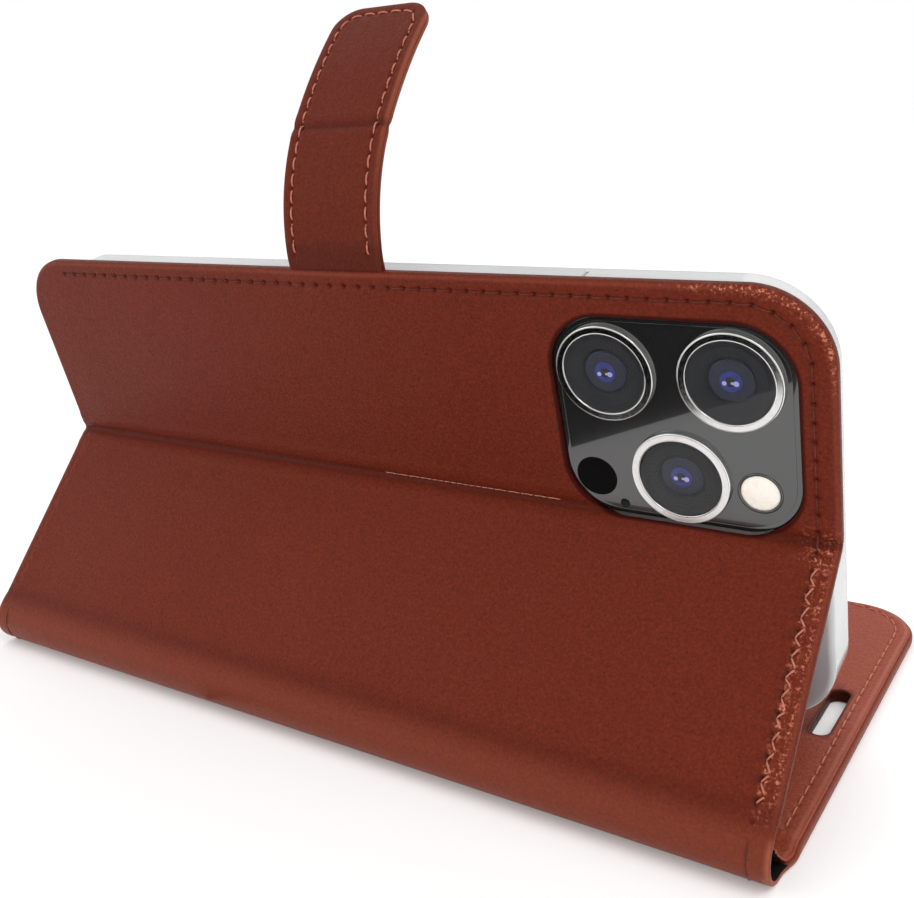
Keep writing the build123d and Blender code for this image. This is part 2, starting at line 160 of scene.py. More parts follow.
def lay(x, v, depth):
    """Points of the case at x, distance v along its outline and depth under its outer face."""
    place, out = section(v)
    yz = place - np.asarray(depth, float)[:, None] * out
    return np.stack((np.asarray(x, float), yz[:, 0], yz[:, 1]), 1)


def upper_point(x, up, depth):
    yz = np.array((CREASE.y, CREASE.z)) + up * UP - depth * UP_OUT
    return Vector((x, yz[0], yz[1]))


# ---------------------------------------------------------------- mesh helpers


def make(name, points, faces, smooth=True):
    mesh = bpy.data.meshes.new(name)
    mesh.from_pydata([tuple(p) for p in np.asarray(points) * MM], [], faces)
    mesh.validate()
    mesh.polygons.foreach_set("use_smooth", [smooth] * len(mesh.polygons))
    mesh.update()
    obj = bpy.data.objects.new(name, mesh)
    bpy.context.scene.collection.objects.link(obj)
    return obj


def set_attribute(obj, name, values):
    layer = obj.data.attributes.new(name, "FLOAT", "POINT")
    layer.data.foreach_set("value", np.asarray(values, np.float32))


def rim_path(half, v0, v1, radius, inset, step):
    """Points along the left side, the far edge and the right side of a panel, from its open
    end at v0: the same number of points whatever the inset."""
    sides = max(2, round((v1 - radius - v0) / step))
    edge = max(2, round(2 * (half - radius) / step))
    turn = max(4, round(radius * math.pi / 2 / step))
    up = np.linspace(v0, v1 - radius, sides + 1)
    across = np.linspace(-half + radius, half - radius, edge + 1)
    bend = np.linspace(0, math.pi / 2, turn + 1)[1:-1]
    r = radius - inset
    left = np.stack((np.full_like(up, -half + inset), up), 1)
    first = np.stack((-half + radius - r * np.cos(bend), v1 - radius + r * np.sin(bend)), 1)
    far = np.stack((across, np.full_like(across, v1 - inset)), 1)
    second = np.stack((half - radius + r * np.sin(bend), v1 - radius + r * np.cos(bend)), 1)
    right = np.stack((np.full_like(up, half - inset), up[::-1]), 1)
    return np.concatenate((left, first, far, second, right))


def ring_path(box, radius, grow, step):
    """Closed loop round an opening, grown outwards: the same number of points at any growth."""
    x0, x1, v0, v1 = box
    r = radius + grow
    turn = max(6, round(radius * math.pi / 2 / step))
    wide, tall = x1 - x0 - 2 * radius, v1 - v0 - 2 * radius
    parts = []
    right, left, far, near = x1 - radius, x0 + radius, v1 - radius, v0 + radius
    for cx, cv, start, length in ((right, far, 0, wide), (left, far, 90, tall),
                                  (left, near, 180, wide), (right, near, 270, tall)):
        a = np.radians(start + np.linspace(0, 90, turn + 1))
        arc = np.stack((cx + r * np.cos(a), cv + r * np.sin(a)), 1)
        if length < 1e-6:
            parts.append(arc[:-1])
            continue
        travel = np.array((-math.sin(a[-1]), math.cos(a[-1])))
        along = np.linspace(0, length, max(1, round(length / step)) + 1)[1:-1]
        parts += [arc, arc[-1] + along[:, None] * travel]
    return np.concatenate(parts)


def edge_rows(thick, top_round=0.75, low_round=0.35):
    """Cross-section of a turned edge: (inset, depth) of each row from the top face down."""
    top, low = np.minimum(top_round, 0.48 * thick), np.minimum(low_round, 0.3 * thick)
    rows = [(top * (1 - math.sin(a)), top * (1 - math.cos(a)))
            for a in np.radians((0, 18, 36, 54, 72, 90))]
    rows.append((0 * thick, (top + thick - low) / 2))
    rows += [(low * (1 - math.cos(a)), thick - low * (1 - math.sin(a)))
             for a in np.radians((0, 30, 60, 90))]
    return rows


class Builder:
    """Collects the points and faces of one piece."""

    def __init__(self, place):
        self.place, self.points, self.faces, self.count = place, [], [], 0
        self.flat, self.depths = [], []

    def row(self, xv, depth):
        numbers = np.arange(self.count, self.count + len(xv))
        depth = np.broadcast_to(depth, len(xv))
        self.points.append(self.place(*xv.T, depth))
        self.flat.append(xv)
        self.depths.append(depth)
        self.count += len(xv)
        return numbers

    def join(self, a, b, closed=False):
        last = len(a) if closed else len(a) - 1
        for k in range(last):
            n = (k + 1) % len(a)
            self.faces.append((int(a[k]), int(a[n]), int(b[n]), int(b[k])))

    def finish(self, name, flip=False, marks=None):
        faces = [face[::-1] for face in self.faces] if flip else self.faces
        obj = make(name, np.concatenate(self.points), faces)
        flat = np.concatenate(self.flat)
        for key, values in (marks or {}).items():
            set_attribute(obj, key, values(*flat.T, np.concatenate(self.depths)))
        return obj


class Opening:
    """A rounded hole through a panel, with rows of points round it."""

    def __init__(self, box, radius, rows=(1.1, 0.8, 0.55, 0.35, 0.2, 0.1), step=0.45):
        self.box, self.radius, self.rows, self.step = box, radius, rows, step

    def ring(self, grow):
        return ring_path(self.box, self.radius, grow, self.step)

    def covers(self, x, v, grow):
        x0, x1, v0, v1 = self.box
        cx = np.clip(x, x0 + self.radius, x1 - self.radius)
        cv = np.clip(v, v0 + self.radius, v1 - self.radius)
        return np.hypot(x - cx, v - cv) < self.radius + grow


TOP_INSETS = (3.9, 3.6, 3.3, 3.0, 2.75, 2.5, 2.3, 2.1, 1.85, 1.55, 1.25, 1.0)


def panel(name, half, v0, v1, radius, thick, place, bump, step=0.45, insets=TOP_INSETS,
          openings=(), extra=(), grid=1.8, round_top=0.75, flip=False, marks=None,
          cap=False):
    """A closed panel with turned edges on three sides, and openings. The side at v0 stays
    open. place(x, v, depth) puts a point in space; bump(x, v) is how proud it stands there."""
    made = Builder(place)

    def rim(inset):
        return rim_path(half, v0, v1, radius, inset, step)

    chain = []
    for inset in insets:
        row = rim(inset)
        chain.append(made.row(row, -bump(*row.T)))
    outer, one = rim(0.0), rim(1.0)
    shape = edge_rows(thick(outer[:, 1]), round_top)
    for number, (inset, depth) in enumerate(shape):
        row = outer + (one - outer) * inset[:, None]
        fade = 1 - number / (len(shape) - 1)
        chain.append(made.row(row, depth - fade * bump(*row.T)))
    for inset in (1.6, insets[0]):
        row = rim(inset)
        chain.append(made.row(row, thick(row[:, 1])))
    for a, b in zip(chain[:-1], chain[1:]):
        made.join(a, b)
    rings = []
    for opening in openings:
        loops = []
        for grow in opening.rows:
            row = opening.ring(grow)
            loops.append(made.row(row, -bump(*row.T)))
        wall = thick(opening.ring(0.0)[:, 1])
        for share, grow in ((0.05, 0.03), (0.15, 0.0), (0.85, 0.0), (1.0, 0.1)):
            loops.append(made.row(opening.ring(grow), wall * share))
        row = opening.ring(opening.rows[0])
        loops.append(made.row(row, thick(row[:, 1])))
        for a, b in zip(loops[:-1], loops[1:]):
            made.join(a, b, closed=True)
        rings.append((opening, loops[0], loops[-1]))
    top, under = fill(made, rim(insets[0]), chain[0], chain[-1], rings, bump, thick, grid, extra,
                      (half, v0, v1, radius, insets[0]))
    if cap:
        loop = [row[0] for row in chain] + list(under[::-1])
        loop += [row[-1] for row in chain[::-1]] + list(top)
        made.faces.append(tuple(int(i) for i in loop))
    return made.finish(name, flip, marks)


def fill(made, loop, top_loop, under_loop, rings, bump, thick, grid, extra, outline):
    """Fill both faces inside the edge rows with triangles."""
    half, v0, v1, radius, inset = outline
    inner = half - inset
    columns = np.linspace(-inner, inner, round(2 * inner / grid) + 1)[1:-1]
    seam = np.stack((columns, np.full_like(columns, v0)), 1)[::-1]
    free = [(x, v) for v in np.arange(v0 + grid, v1 - inset, grid) for x in columns]
    free = np.array(free + list(extra))
    past_x = np.maximum(np.abs(free[:, 0]) - (half - radius), 0)
    past_v = np.maximum(free[:, 1] - (v1 - radius), 0)
    keep = np.hypot(past_x, past_v) < radius - inset - 0.2
    for opening, _, _ in rings:
        keep &= ~opening.covers(free[:, 0], free[:, 1], opening.rows[0] + 0.2)
    free = free[keep]
    flat = [loop, seam, free] + [opening.ring(opening.rows[0]) for opening, _, _ in rings]
    closed = len(loop) + len(seam)
    edges = [(k, (k + 1) % closed) for k in range(closed)]
    start = closed + len(free)
    for ring in flat[3:]:
        edges += [(start + k, start + (k + 1) % len(ring)) for k in range(len(ring))]
        start += len(ring)
    out = geometry.delaunay_2d_cdt([Vector(p) for p in np.concatenate(flat)], edges, [], 0, 1e-6)
    middle = np.concatenate((seam, free))
    top = list(top_loop) + list(made.row(middle, -bump(*middle.T)))
    under = list(under_loop) + list(made.row(middle, thick(middle[:, 1])))
    for _, top_ring, under_ring in rings:
        top += list(top_ring)
        under += list(under_ring)
    for triangle in out[2]:
        if not all(out[3][i] for i in triangle):
            continue
        centre = sum((out[0][i] for i in triangle), Vector((0, 0))) / 3
        if any(opening.covers(*centre, opening.rows[0] - 1e-4) for opening, _, _ in rings):
            continue
        a, b, c = (out[3][i][0] for i in triangle)
        made.faces.append((int(top[a]), int(top[b]), int(top[c])))
        made.faces.append((int(under[c]), int(under[b]), int(under[a])))
    seam_top = top[len(top_loop):len(top_loop) + len(seam)]
    return seam_top, under[len(under_loop):len(under_loop) + len(seam)]


def band(name, half, stations, thick, place, bump, insets=TOP_INSETS, grid=1.8, round_top=0.75,
         flip=False, marks=None):
    """A strip with turned edges along both sides, open at both ends: one closed row of points
    at each station along it. Its ends match those of a panel of the same width."""
    made = Builder(place)
    inner = half - insets[0]
    columns = np.linspace(-inner, inner, round(2 * inner / grid) + 1)[1:-1]
    rows = []
    for v in stations:
        t = float(thick(np.array([v]))[0])
        shape = edge_rows(np.array([t]), round_top)
        side = [(inset, 0.0, 1.0) for inset in insets]
        side += [(float(inset[0]), float(depth[0]), 1 - k / (len(shape) - 1))
                 for k, (inset, depth) in enumerate(shape)]
        side += [(1.6, t, 0.0), (insets[0], t, 0.0)]
        xs = [-half + inset for inset, _, _ in side] + list(columns)
        xs += [half - inset for inset, _, _ in side[::-1]] + list(columns[::-1])
        depths = [depth for _, depth, _ in side] + [t] * len(columns)
        depths += [depth for _, depth, _ in side[::-1]] + [0.0] * len(columns)
        share = [fade for _, _, fade in side] + [0.0] * len(columns)
        share += [fade for _, _, fade in side[::-1]] + [1.0] * len(columns)
        xv = np.stack((xs, np.full(len(xs), float(v))), 1)
        rows.append(made.row(xv, np.array(depths) - np.array(share) * bump(*xv.T)))
    for a, b in zip(rows[:-1], rows[1:]):
        made.join(b, a, closed=True)
    return made.finish(name, flip, marks)


def weld_normals(objects):
    """Give pieces that meet in a seam the same normals along it, so that no line shows."""
    table, totals = {}, {}
    for obj in objects:
        mesh = obj.data
        sums = np.zeros((len(mesh.vertices), 3))
        for polygon in mesh.polygons:
            weight = np.array(polygon.normal) * polygon.area
            for i in polygon.vertices:
                sums[i] += weight
        table[obj.name] = sums
        for i, vertex in enumerate(mesh.vertices):
            key = tuple(round(c, 6) for c in vertex.co)
            totals[key] = totals.get(key, 0) + sums[i]
    for obj in objects:
        normals = []
        for vertex in obj.data.vertices:
            total = Vector(totals[tuple(round(c, 6) for c in vertex.co)])
            normals.append(total.normalized())
        obj.data.normals_split_custom_set_from_vertices(normals)


def walk(line, pitch, closed=False):
    """Evenly spaced points along a line of points."""
    line = np.concatenate((line, line[:1])) if closed else line
    steps = np.linalg.norm(np.diff(line, axis=0), axis=1)
    reach = np.concatenate(([0], np.cumsum(steps)))
    count = max(2, round(reach[-1] / pitch) + 1)
    at = np.linspace(0, reach[-1], count)
    return np.stack((np.interp(at, reach, line[:, 0]), np.interp(at, reach, line[:, 1])), 1)


def tree_of(points):
    tree = kdtree.KDTree(len(points))
    for k, p in enumerate(points):
        tree.insert((p[0], p[1], 0), k)
    tree.balance()
    return tree


class Seam:
    """A stitched line in panel coordinates: the holes, the groove and the puckered leather."""

    def __init__(self, line, pitch=3.0, groove=0.1, hole=0.38, pucker=0.05, sunk=0.0):
        self.holes = walk(line, pitch)
        self.groove, self.hole, self.pucker, self.sunk = groove, hole, pucker, sunk
        self.near_hole = tree_of(self.holes)
        self.near_line = tree_of(walk(line, 0.2))

    def relief(self, x, v):
        """How far the leather stands proud at each point."""
        high = np.zeros(len(x))
        for k, (a, b) in enumerate(zip(x, v)):
            point = (a, b, 0)
            away = self.near_line.find(point)[2]
            if away > 2.4:
                continue
            r = self.near_hole.find(point)[2]
            high[k] = self.pucker * math.exp(-((away - 0.9) / 0.5) ** 2)
            high[k] -= self.groove * math.exp(-(away / 0.42) ** 2)
            high[k] -= self.hole * math.exp(-(r / 0.34) ** 2)
        return high


def dots(seam, x, v, size=0.42):
    """Painted shade in the needle holes of a seam."""
    dark = np.zeros(len(x))
    for k, (a, b) in enumerate(zip(x, v)):
        dark[k] = math.exp(-min(40.0, (seam.near_hole.find((a, b, 0))[2] / size) ** 2))
    return dark


def tube(points, radii, sides=8):
    """Points and faces of a closed thread through a line of points."""
    points = [Vector(p) for p in points]
    verts, faces = [], []
    for k, p in enumerate(points):
        ahead = points[min(k + 1, len(points) - 1)] - points[max(k - 1, 0)]
        ahead.normalize()
        side = ahead.cross(Vector((0.13, 0.31, 0.94))).normalized()
        other = ahead.cross(side)
        for n in range(sides):
            a = 2 * math.pi * n / sides
            verts.append(p + (side * math.cos(a) + other * math.sin(a)) * radii[k])
    for k in range(len(points) - 1):
        for n in range(sides):
            m = (n + 1) % sides
            base = k * sides
            faces.append((base + n, base + m, base + sides + m, base + sides + n))
    faces.append(tuple(range(sides))[::-1])
    faces.append(tuple(range((len(points) - 1) * sides, len(points) * sides)))
    return verts, faces


def threads(name, seams, place, keep=lambda x, v: True, radius=0.2, proud=0.1, depth=0.3):
    """The thread between each two holes of these seams, as one piece: it dives into each hole."""
    verts, faces = [], []
    for seam in seams:
        for a, b in zip(seam.holes[:-1], seam.holes[1:]):
            if not keep(*((a + b) / 2)):
                continue
            share = np.array((0.03, 0.1, 0.2, 0.35, 0.5, 0.65, 0.8, 0.9, 0.97))
            xv = a + (b - a) * share[:, None]
            rise = np.array((-1.0, -0.8, -0.15, 0.75, 1.0, 0.75, -0.15, -0.8, -1.0))
            lift = np.where(rise > 0, rise * proud, rise * depth) - seam.sunk
            line = place(*xv.T, -lift)
            thick = radius * np.array((0.7, 0.9, 1.0, 1.0, 1.0, 1.0, 1.0, 0.9, 0.7))
            new, sides = tube(line, thick)
            faces += [tuple(i + len(verts) for i in face) for face in sides]
            verts += new
    return make(name, np.array([tuple(p) for p in verts]), faces)


# ---------------------------------------------------------------- materials


class Shader:
    """A small helper to build one node material."""

    def __init__(self, name):
        self.material = bpy.data.materials.new(name)
        self.material.use_nodes = True
        self.tree = self.material.node_tree
        self.main = self.tree.nodes["Principled BSDF"]
        self.coords = self.tree.nodes.new("ShaderNodeTexCoord").outputs["Object"]

    def node(self, kind, **sockets):
        made = self.tree.nodes.new(kind)
        for key, value in sockets.items():
            socket = made.inputs[key.replace("_", " ")]
            if isinstance(value, bpy.types.NodeSocket):
                self.tree.links.new(value, socket)
            else:
                socket.default_value = value
        return made

    def noise(self, scale, detail=3.0, rough=0.55, stretch=None):
        vector = self.coords
        if stretch:
            vector = self.node("ShaderNodeVectorMath", Vector=vector).outputs[0]
            multiply = vector.node
            multiply.operation = "MULTIPLY"
            multiply.inputs[1].default_value = stretch
        return self.node("ShaderNodeTexNoise", Vector=vector, Scale=scale, Detail=detail,
                         Roughness=rough).outputs["Fac"]

    def cells(self, scale):
        return self.node("ShaderNodeTexVoronoi", Vector=self.coords, Scale=scale).outputs["Distance"]

    def attribute(self, name):
        made = self.tree.nodes.new("ShaderNodeAttribute")
        made.attribute_name = name
        return made.outputs["Fac"]

    def span(self, value, low, high, new_low=0.0, new_high=1.0):
        made = self.node("ShaderNodeMapRange", Value=value)
        for key, number in (("From Min", low), ("From Max", high), ("To Min", new_low),
                            ("To Max", new_high)):
            made.inputs[key].default_value = number
        return made.outputs["Result"]

    def mix(self, share, a, b, kind="MIX"):
        made = self.tree.nodes.new("ShaderNodeMix")
        made.data_type, made.blend_type = "RGBA", kind
        for key, value in ((0, share), (6, a), (7, b)):
            if isinstance(value, bpy.types.NodeSocket):
                self.tree.links.new(value, made.inputs[key])
            else:
                made.inputs[key].default_value = value if key == 0 else (*value, 1.0)
        return made.outputs[2]

    def bump(self, height, strength, distance, under=None):
        made = self.node("ShaderNodeBump", Height=height, Strength=strength, Distance=distance * MM)
        if under is not None:
            self.tree.links.new(under, made.inputs["Normal"])
        return made.outputs["Normal"]

    def set(self, **values):
        for key, value in values.items():
            socket = self.main.inputs[key.replace("_", " ")]
            if isinstance(value, bpy.types.NodeSocket):
                self.tree.links.new(value, socket)
            elif socket.type == "RGBA":
                socket.default_value = (*value, 1.0)
            else:
                socket.default_value = value
        return self.material


def leather(name, base, wear_and_highlight, dark, rough=0.46, grain=0.5, shine=0.16):
    """Fine-grained imitation leather: speckled, lighter where rubbing wears it and under painted
    highlights, with painted sparkle where it cracks, darker on its bare edges and in painted shade.
    """
    s = Shader(name)
    broad = s.span(s.noise(24, 2), 0.3, 0.7)
    fine = s.span(s.noise(2100, 3, 0.75), 0.32, 0.68)
    speck = s.span(s.noise(1700, 2, 0.8), 0.60, 0.70)
    light, deep = tuple(c * 1.5 for c in base), tuple(c * 0.6 for c in base)
    colour = s.mix(s.span(broad, 0, 1, 0.0, 0.35), base, tuple(c * 0.86 for c in base))
    colour = s.mix(s.span(fine, 0.5, 1, 0.0, 0.6), colour, light)
    colour = s.mix(s.span(fine, 0.5, 0, 0.0, 0.6), colour, deep)
    colour = s.mix(s.span(speck, 0, 1, 0.0, 0.4), colour, dark)
    # Lighter where rubbing wears it, with painted highlight on the rolled edges and crinkles and painted
    # light towards the spine.
    colour = s.mix(s.attribute("wear_and_highlight"), colour, wear_and_highlight)
    # Painted sparkle, partly rubbing: noise cracks made bright where the mask says, a painted highlight.
    crack = s.span(s.noise(1900, 2, 0.7), 0.52, 0.62)
    scuff_sparkle = s.node("ShaderNodeMath", Value=crack)
    scuff_sparkle.operation = "MULTIPLY"
    s.tree.links.new(s.attribute("scuff_and_sparkle"), scuff_sparkle.inputs[1])
    colour = s.mix(scuff_sparkle.outputs[0], colour, tuple(min(1.0, c * 1.5) for c in wear_and_highlight))
    # Darker on the bare edges round the openings, and painted shade in the crease, folds and needle holes
    # and under the edges.
    colour = s.mix(s.attribute("shade_and_edge_paint"), colour, dark)
    pebble = s.cells(2000)
    crease = s.span(s.noise(850, 5, 0.65), 0.25, 0.75)
    normal = s.bump(pebble, grain, 0.07)
    normal = s.bump(crease, grain * 0.8, 0.1, normal)
    normal = s.bump(s.noise(160, 3), 0.3, 0.12, normal)
    satin = s.span(s.noise(700, 3), 0.2, 0.8, rough - 0.07, rough + 0.08)
    return s.set(Base_Color=colour, Roughness=satin, Normal=normal, IOR=1.45, Specular_IOR_Level=shine,
                 Specular_Tint=(1.0, 0.62, 0.5))


def fibre(name, base, dark, scale=900, rough=0.85, strength=0.4):
    """Short-fibred or pressed material: board, thread, and the near-black painted shade of the spine's
    hollow.
    """
    s = Shader(name)
    colour = s.mix(s.span(s.noise(scale, 4, 0.7), 0.3, 0.7), base, dark)
    colour = s.mix(s.span(s.noise(scale * 0.08, 2), 0.3, 0.7, 0, 0.35), colour, dark)
    normal = s.bump(s.noise(scale * 1.6, 3, 0.7), strength, 0.06)
    return s.set(Base_Color=colour, Roughness=rough, Normal=normal, Specular_IOR_Level=0.2)


def metal(name, base, rough):
    s = Shader(name)
    fine = s.noise(1400, 3, 0.6)
    colour = s.mix(s.span(fine, 0.3, 0.7, 0, 0.25), base, tuple(c * 0.8 for c in base))
    return s.set(Base_Color=colour, Metallic=1.0,
                 Roughness=s.span(fine, 0.3, 0.7, rough * 0.8, rough * 1.25),
                 Normal=s.bump(fine, 0.05, 0.01))


def glass(name, base, rough=0.06, coat=1.0, specular=0.5, coat_ior=1.5):
    """Dark coated glass, seen as a glossy surface with faint smears."""
    s = Shader(name)
    smear = s.noise(90, 4, 0.6)
    colour = s.mix(s.span(smear, 0.3, 0.7, 0, 0.3), base, tuple(c * 1.35 for c in base))
    return s.set(Base_Color=colour, Roughness=s.span(smear, 0.3, 0.7, rough, rough * 1.8),
                 Coat_Weight=coat, Coat_Roughness=0.03, Coat_IOR=coat_ior, Specular_IOR_Level=specular)


def clear_plastic(name):
    """Flexible plastic of the tray: milky, smooth, with soft flow marks."""
    s = Shader(name)
    flow = s.noise(60, 2, 0.4, stretch=(0.2, 1.0, 1.0))
    fine = s.noise(900, 2, 0.5)
    colour = s.mix(s.span(flow, 0.35, 0.65, 0, 0.7), (0.70, 0.705, 0.71), (0.52, 0.53, 0.54))
    normal = s.bump(flow, 0.12, 0.3)
    return s.set(Base_Color=colour, Roughness=s.span(fine, 0.3, 0.7, 0.15, 0.22), IOR=1.49,
                 Transmission_Weight=0.3, Normal=normal, Coat_Weight=0.4, Coat_Roughness=0.08)


# Each leather: base colour, a lighter colour for wear and painted highlight, and a dark colour for
# speckles, bare edges and painted shade.
OUTER = leather("outer_leather", (0.128, 0.0175, 0.0078), (0.44, 0.14, 0.085), (0.03, 0.002, 0.0015))
INNER = leather("inner_leather", (0.27, 0.056, 0.030), (0.55, 0.22, 0.15), (0.08, 0.008, 0.004), 0.5)
STRAP_SKIN = leather("strap_leather", (0.108, 0.0145, 0.006), (0.40, 0.12, 0.07), (0.03, 0.002, 0.001))
# Near-black painted shade for the hollow inside the spine.
HOLLOW_SHADE = fibre("spine_hollow_painted_shade", (0.004, 0.003, 0.0025), (0.0015, 0.001, 0.001))
BOARD = fibre("grey_board", (0.42, 0.35, 0.27), (0.28, 0.23, 0.18), 500, 0.9)
THREAD = fibre("sewing_thread", (0.17, 0.034, 0.018), (0.07, 0.01, 0.006), 2600, 0.5, 0.5)
# The thread's own colour made lighter by a painted highlight.
HIGHLIT_THREAD = fibre("thread_with_painted_highlight", (0.60, 0.24, 0.16), (0.34, 0.10, 0.06), 2600, 0.5, 0.5)
STEEL = metal("plated_steel", (0.62, 0.62, 0.6), 0.3)
MAGNET = metal("magnet_nickel", (0.5, 0.5, 0.48), 0.4)
TRAY = clear_plastic("clear_tray")
FRAME = metal("handset_frame_steel", (0.78, 0.78, 0.77), 0.22)
BACK_GLASS = glass("handset_back_glass", (0.55, 0.55, 0.55), 0.3, 0.4)
SCREEN = glass("handset_screen_glass", (0.006, 0.006, 0.008), 0.05)
PLATEAU = glass("camera_plateau_glass", (0.012, 0.0122, 0.0125), 0.1, 1.0, coat_ior=1.75)
RING = metal("lens_ring_steel", (0.80, 0.80, 0.79), 0.12)
CONE = fibre("lens_inner_wall", (0.006, 0.006, 0.0065), (0.002, 0.002, 0.002), 2600, 0.45, 0.1)
BLUE = glass("lens_blue_coating", (0.004, 0.006, 0.024), 0.10, 0.0, 0.3)
VIOLET = glass("lens_violet_coating", (0.02, 0.035, 0.22), 0.08, 0.0, 0.3)
DEEP = glass("lens_deep_element", (0.001, 0.001, 0.003), 0.05, 0.0, 0.3)
GLINT = glass("lens_inner_glint", (0.62, 0.55, 0.95), 0.15, 0.3)
BLACK_GLASS = glass("scanner_black_glass", (0.002, 0.002, 0.002), 0.35, 0.0, 0.08)
MESH = fibre("microphone_mesh", (0.02, 0.02, 0.02), (0.005, 0.005, 0.005), 3000, 0.6)


def flash_material():
    s = Shader("flash_diffuser")
    facets = s.cells(2100)
    colour = s.mix(s.span(facets, 0.0, 0.6), (0.93, 0.87, 0.74), (0.80, 0.70, 0.58))
    colour = s.mix(s.span(s.noise(260, 2), 0.4, 0.6, 0, 0.5), colour, (0.92, 0.88, 0.85))
    # The faint emission is painted light: the diffuser glows though the flash is off.
    return s.set(Base_Color=colour, Roughness=0.25, Normal=s.bump(facets, 0.5, 0.05),
                 Coat_Weight=0.6, Coat_Roughness=0.05, Subsurface_Weight=0.15,
                 Subsurface_Radius=(0.001, 0.001, 0.001), Emission_Color=(1.0, 0.95, 0.86),
                 Emission_Strength=0.12)


FLASH = flash_material()


def dress(obj, material, bodies, replaces=()):
    obj.data.materials.clear()
    obj.data.materials.append(material)
    if isinstance(bodies, str):
        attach(obj, bodies)
    if replaces:
        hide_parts(*replaces)
    return obj


def bend(obj, first, second, start, end):
    tuple(Vector(start) * MM)
    tuple(Vector(end) * MM)
    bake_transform(obj)


def on_section(v, depth=0.0):
    return lay([0.0], [v], [depth])[0]


# ---------------------------------------------------------------- covers

SEAM_BACK, SEAM_CURL = -(BOARD_END + 1.8), -CURL_MIDDLE
PITCH = 3.0


def thick_skin(v):
    """Thickness of the skin with its board, along the case."""
    v = np.asarray(v, float)
    t = SKIN + (UPPER_STACK - SKIN) * ease(-BOARD_END - 1.6, -BOARD_END + 0.4, v)
    t = t - (UPPER_STACK - LOWER_STACK) * ease(1.0, -1.0, v) * (v > -BOARD_END)
    cover = SKIN + (COVER_STACK - SKIN) * ease(COVER_BOARD - 2.2, COVER_BOARD - 0.6, -v)
    return np.where(v < -CURL_END, cover, t)


def cover_line(side, top, v0):
    """Stitch line of the back cover: its distances from the side and top edges."""
    return rim_path(BACK_HALF - side + top, v0, TOP, CORNER, top, 0.3)


def far_line(side, edge, v0):
    return rim_path(COVER_HALF - side + edge, v0, FAR, CORNER, edge, 0.3)


def back_line():
    """From the far end of the top edge, round the camera corner and down to the spine."""
    line = cover_line(3.3, 2.6, SEAM_BACK + 0.4)
    return line[np.argmax(line[:, 0] > -BACK_HALF + 13):]


def vee_line():
    """Slanting stitches down the camera end of the lower panel, a little uneven."""
    points = []
    for k in range(25):
        sway = 0.25 * noise.noise(Vector((k * 0.7, 2.1, 0)))
        slip = 0.5 * noise.noise(Vector((k * 0.9, 7.7, 0)))
        points.append((BACK_HALF - (3.35, 2.35)[k % 2] + sway, -2.4 - 1.5 * k + slip))
    return np.array(points)


BACK_SEAM = Seam(back_line(), PITCH, groove=0.06, hole=0.5, pucker=0.02)
VEES = Seam(vee_line(), 1.8, groove=0.05, hole=0.2, pucker=0.0)
VEES.holes = vee_line()
VEES.near_hole = tree_of(VEES.holes[::2])
CREASE_LINE = np.array([(x, 0.45) for x in np.arange(-BACK_HALF + 4, BACK_HALF - 3.6, 0.5)])
CREASE_SEAM = Seam(CREASE_LINE, 2.6, groove=0.0, hole=0.12, pucker=0.0, sunk=0.12)
CURL_LINES = [np.array([(side * (BACK_HALF - 3.3), v) for v in (SEAM_BACK - 2.2, -CURL_END + 1.0)])
              for side in (-1, 1)]
CURL_SEAMS = [Seam(line, PITCH, groove=0.04, hole=0.2, pucker=0.0) for line in CURL_LINES]
COVER_SEAM = Seam(far_line(3.0, 2.4, CURL_END + 8.6), PITCH, groove=0.04, hole=0.3, pucker=0.02)


def inset_of(x, v, half, top):
    """Distance from the outline of a panel with rounded far corners."""
    px = np.abs(x) - (half - CORNER)
    pv = v - (top - CORNER)
    corner = CORNER - np.hypot(np.maximum(px, 0), np.maximum(pv, 0))
    return np.where((px > 0) & (pv > 0), corner, np.minimum(half - np.abs(x), top - v))


def ripple(x, v, size, seed):
    return np.array([noise.noise(Vector((a / size, b / size, seed))) for a, b in zip(x, v)])


def crinkle(x, v, size, seed):
    """Sharp little ridges, from 0 to 1."""
    ridge = np.array([noise.noise(Vector((a / size * 0.7, b / size, seed))) for a, b in zip(x, v)])
    return np.clip(1 - 3.2 * np.abs(ridge), 0, 1)


def border(x, v):
    """Strength of the wrinkling beside the edge: strongest down the sides of the lower panel."""
    inset = inset_of(x, v, BACK_HALF, TOP)
    near_seam = peak(inset, 2.9, 0.7) * ease(3.9, 3.4, inset)
    near_edge = peak(inset, 1.25, 0.42)
    low = ease(1.5, -3.0, v) * ease(-BOARD_END - 4, -BOARD_END + 4, v)
    corner = ease(62, 71, x) * ease(BACK_HALF + 1, 77, x) * ease(TOP - 15, TOP - 7, v)
    return low * np.maximum(near_seam, near_edge) + 0.8 * corner * peak(inset, 0.9, 0.5)


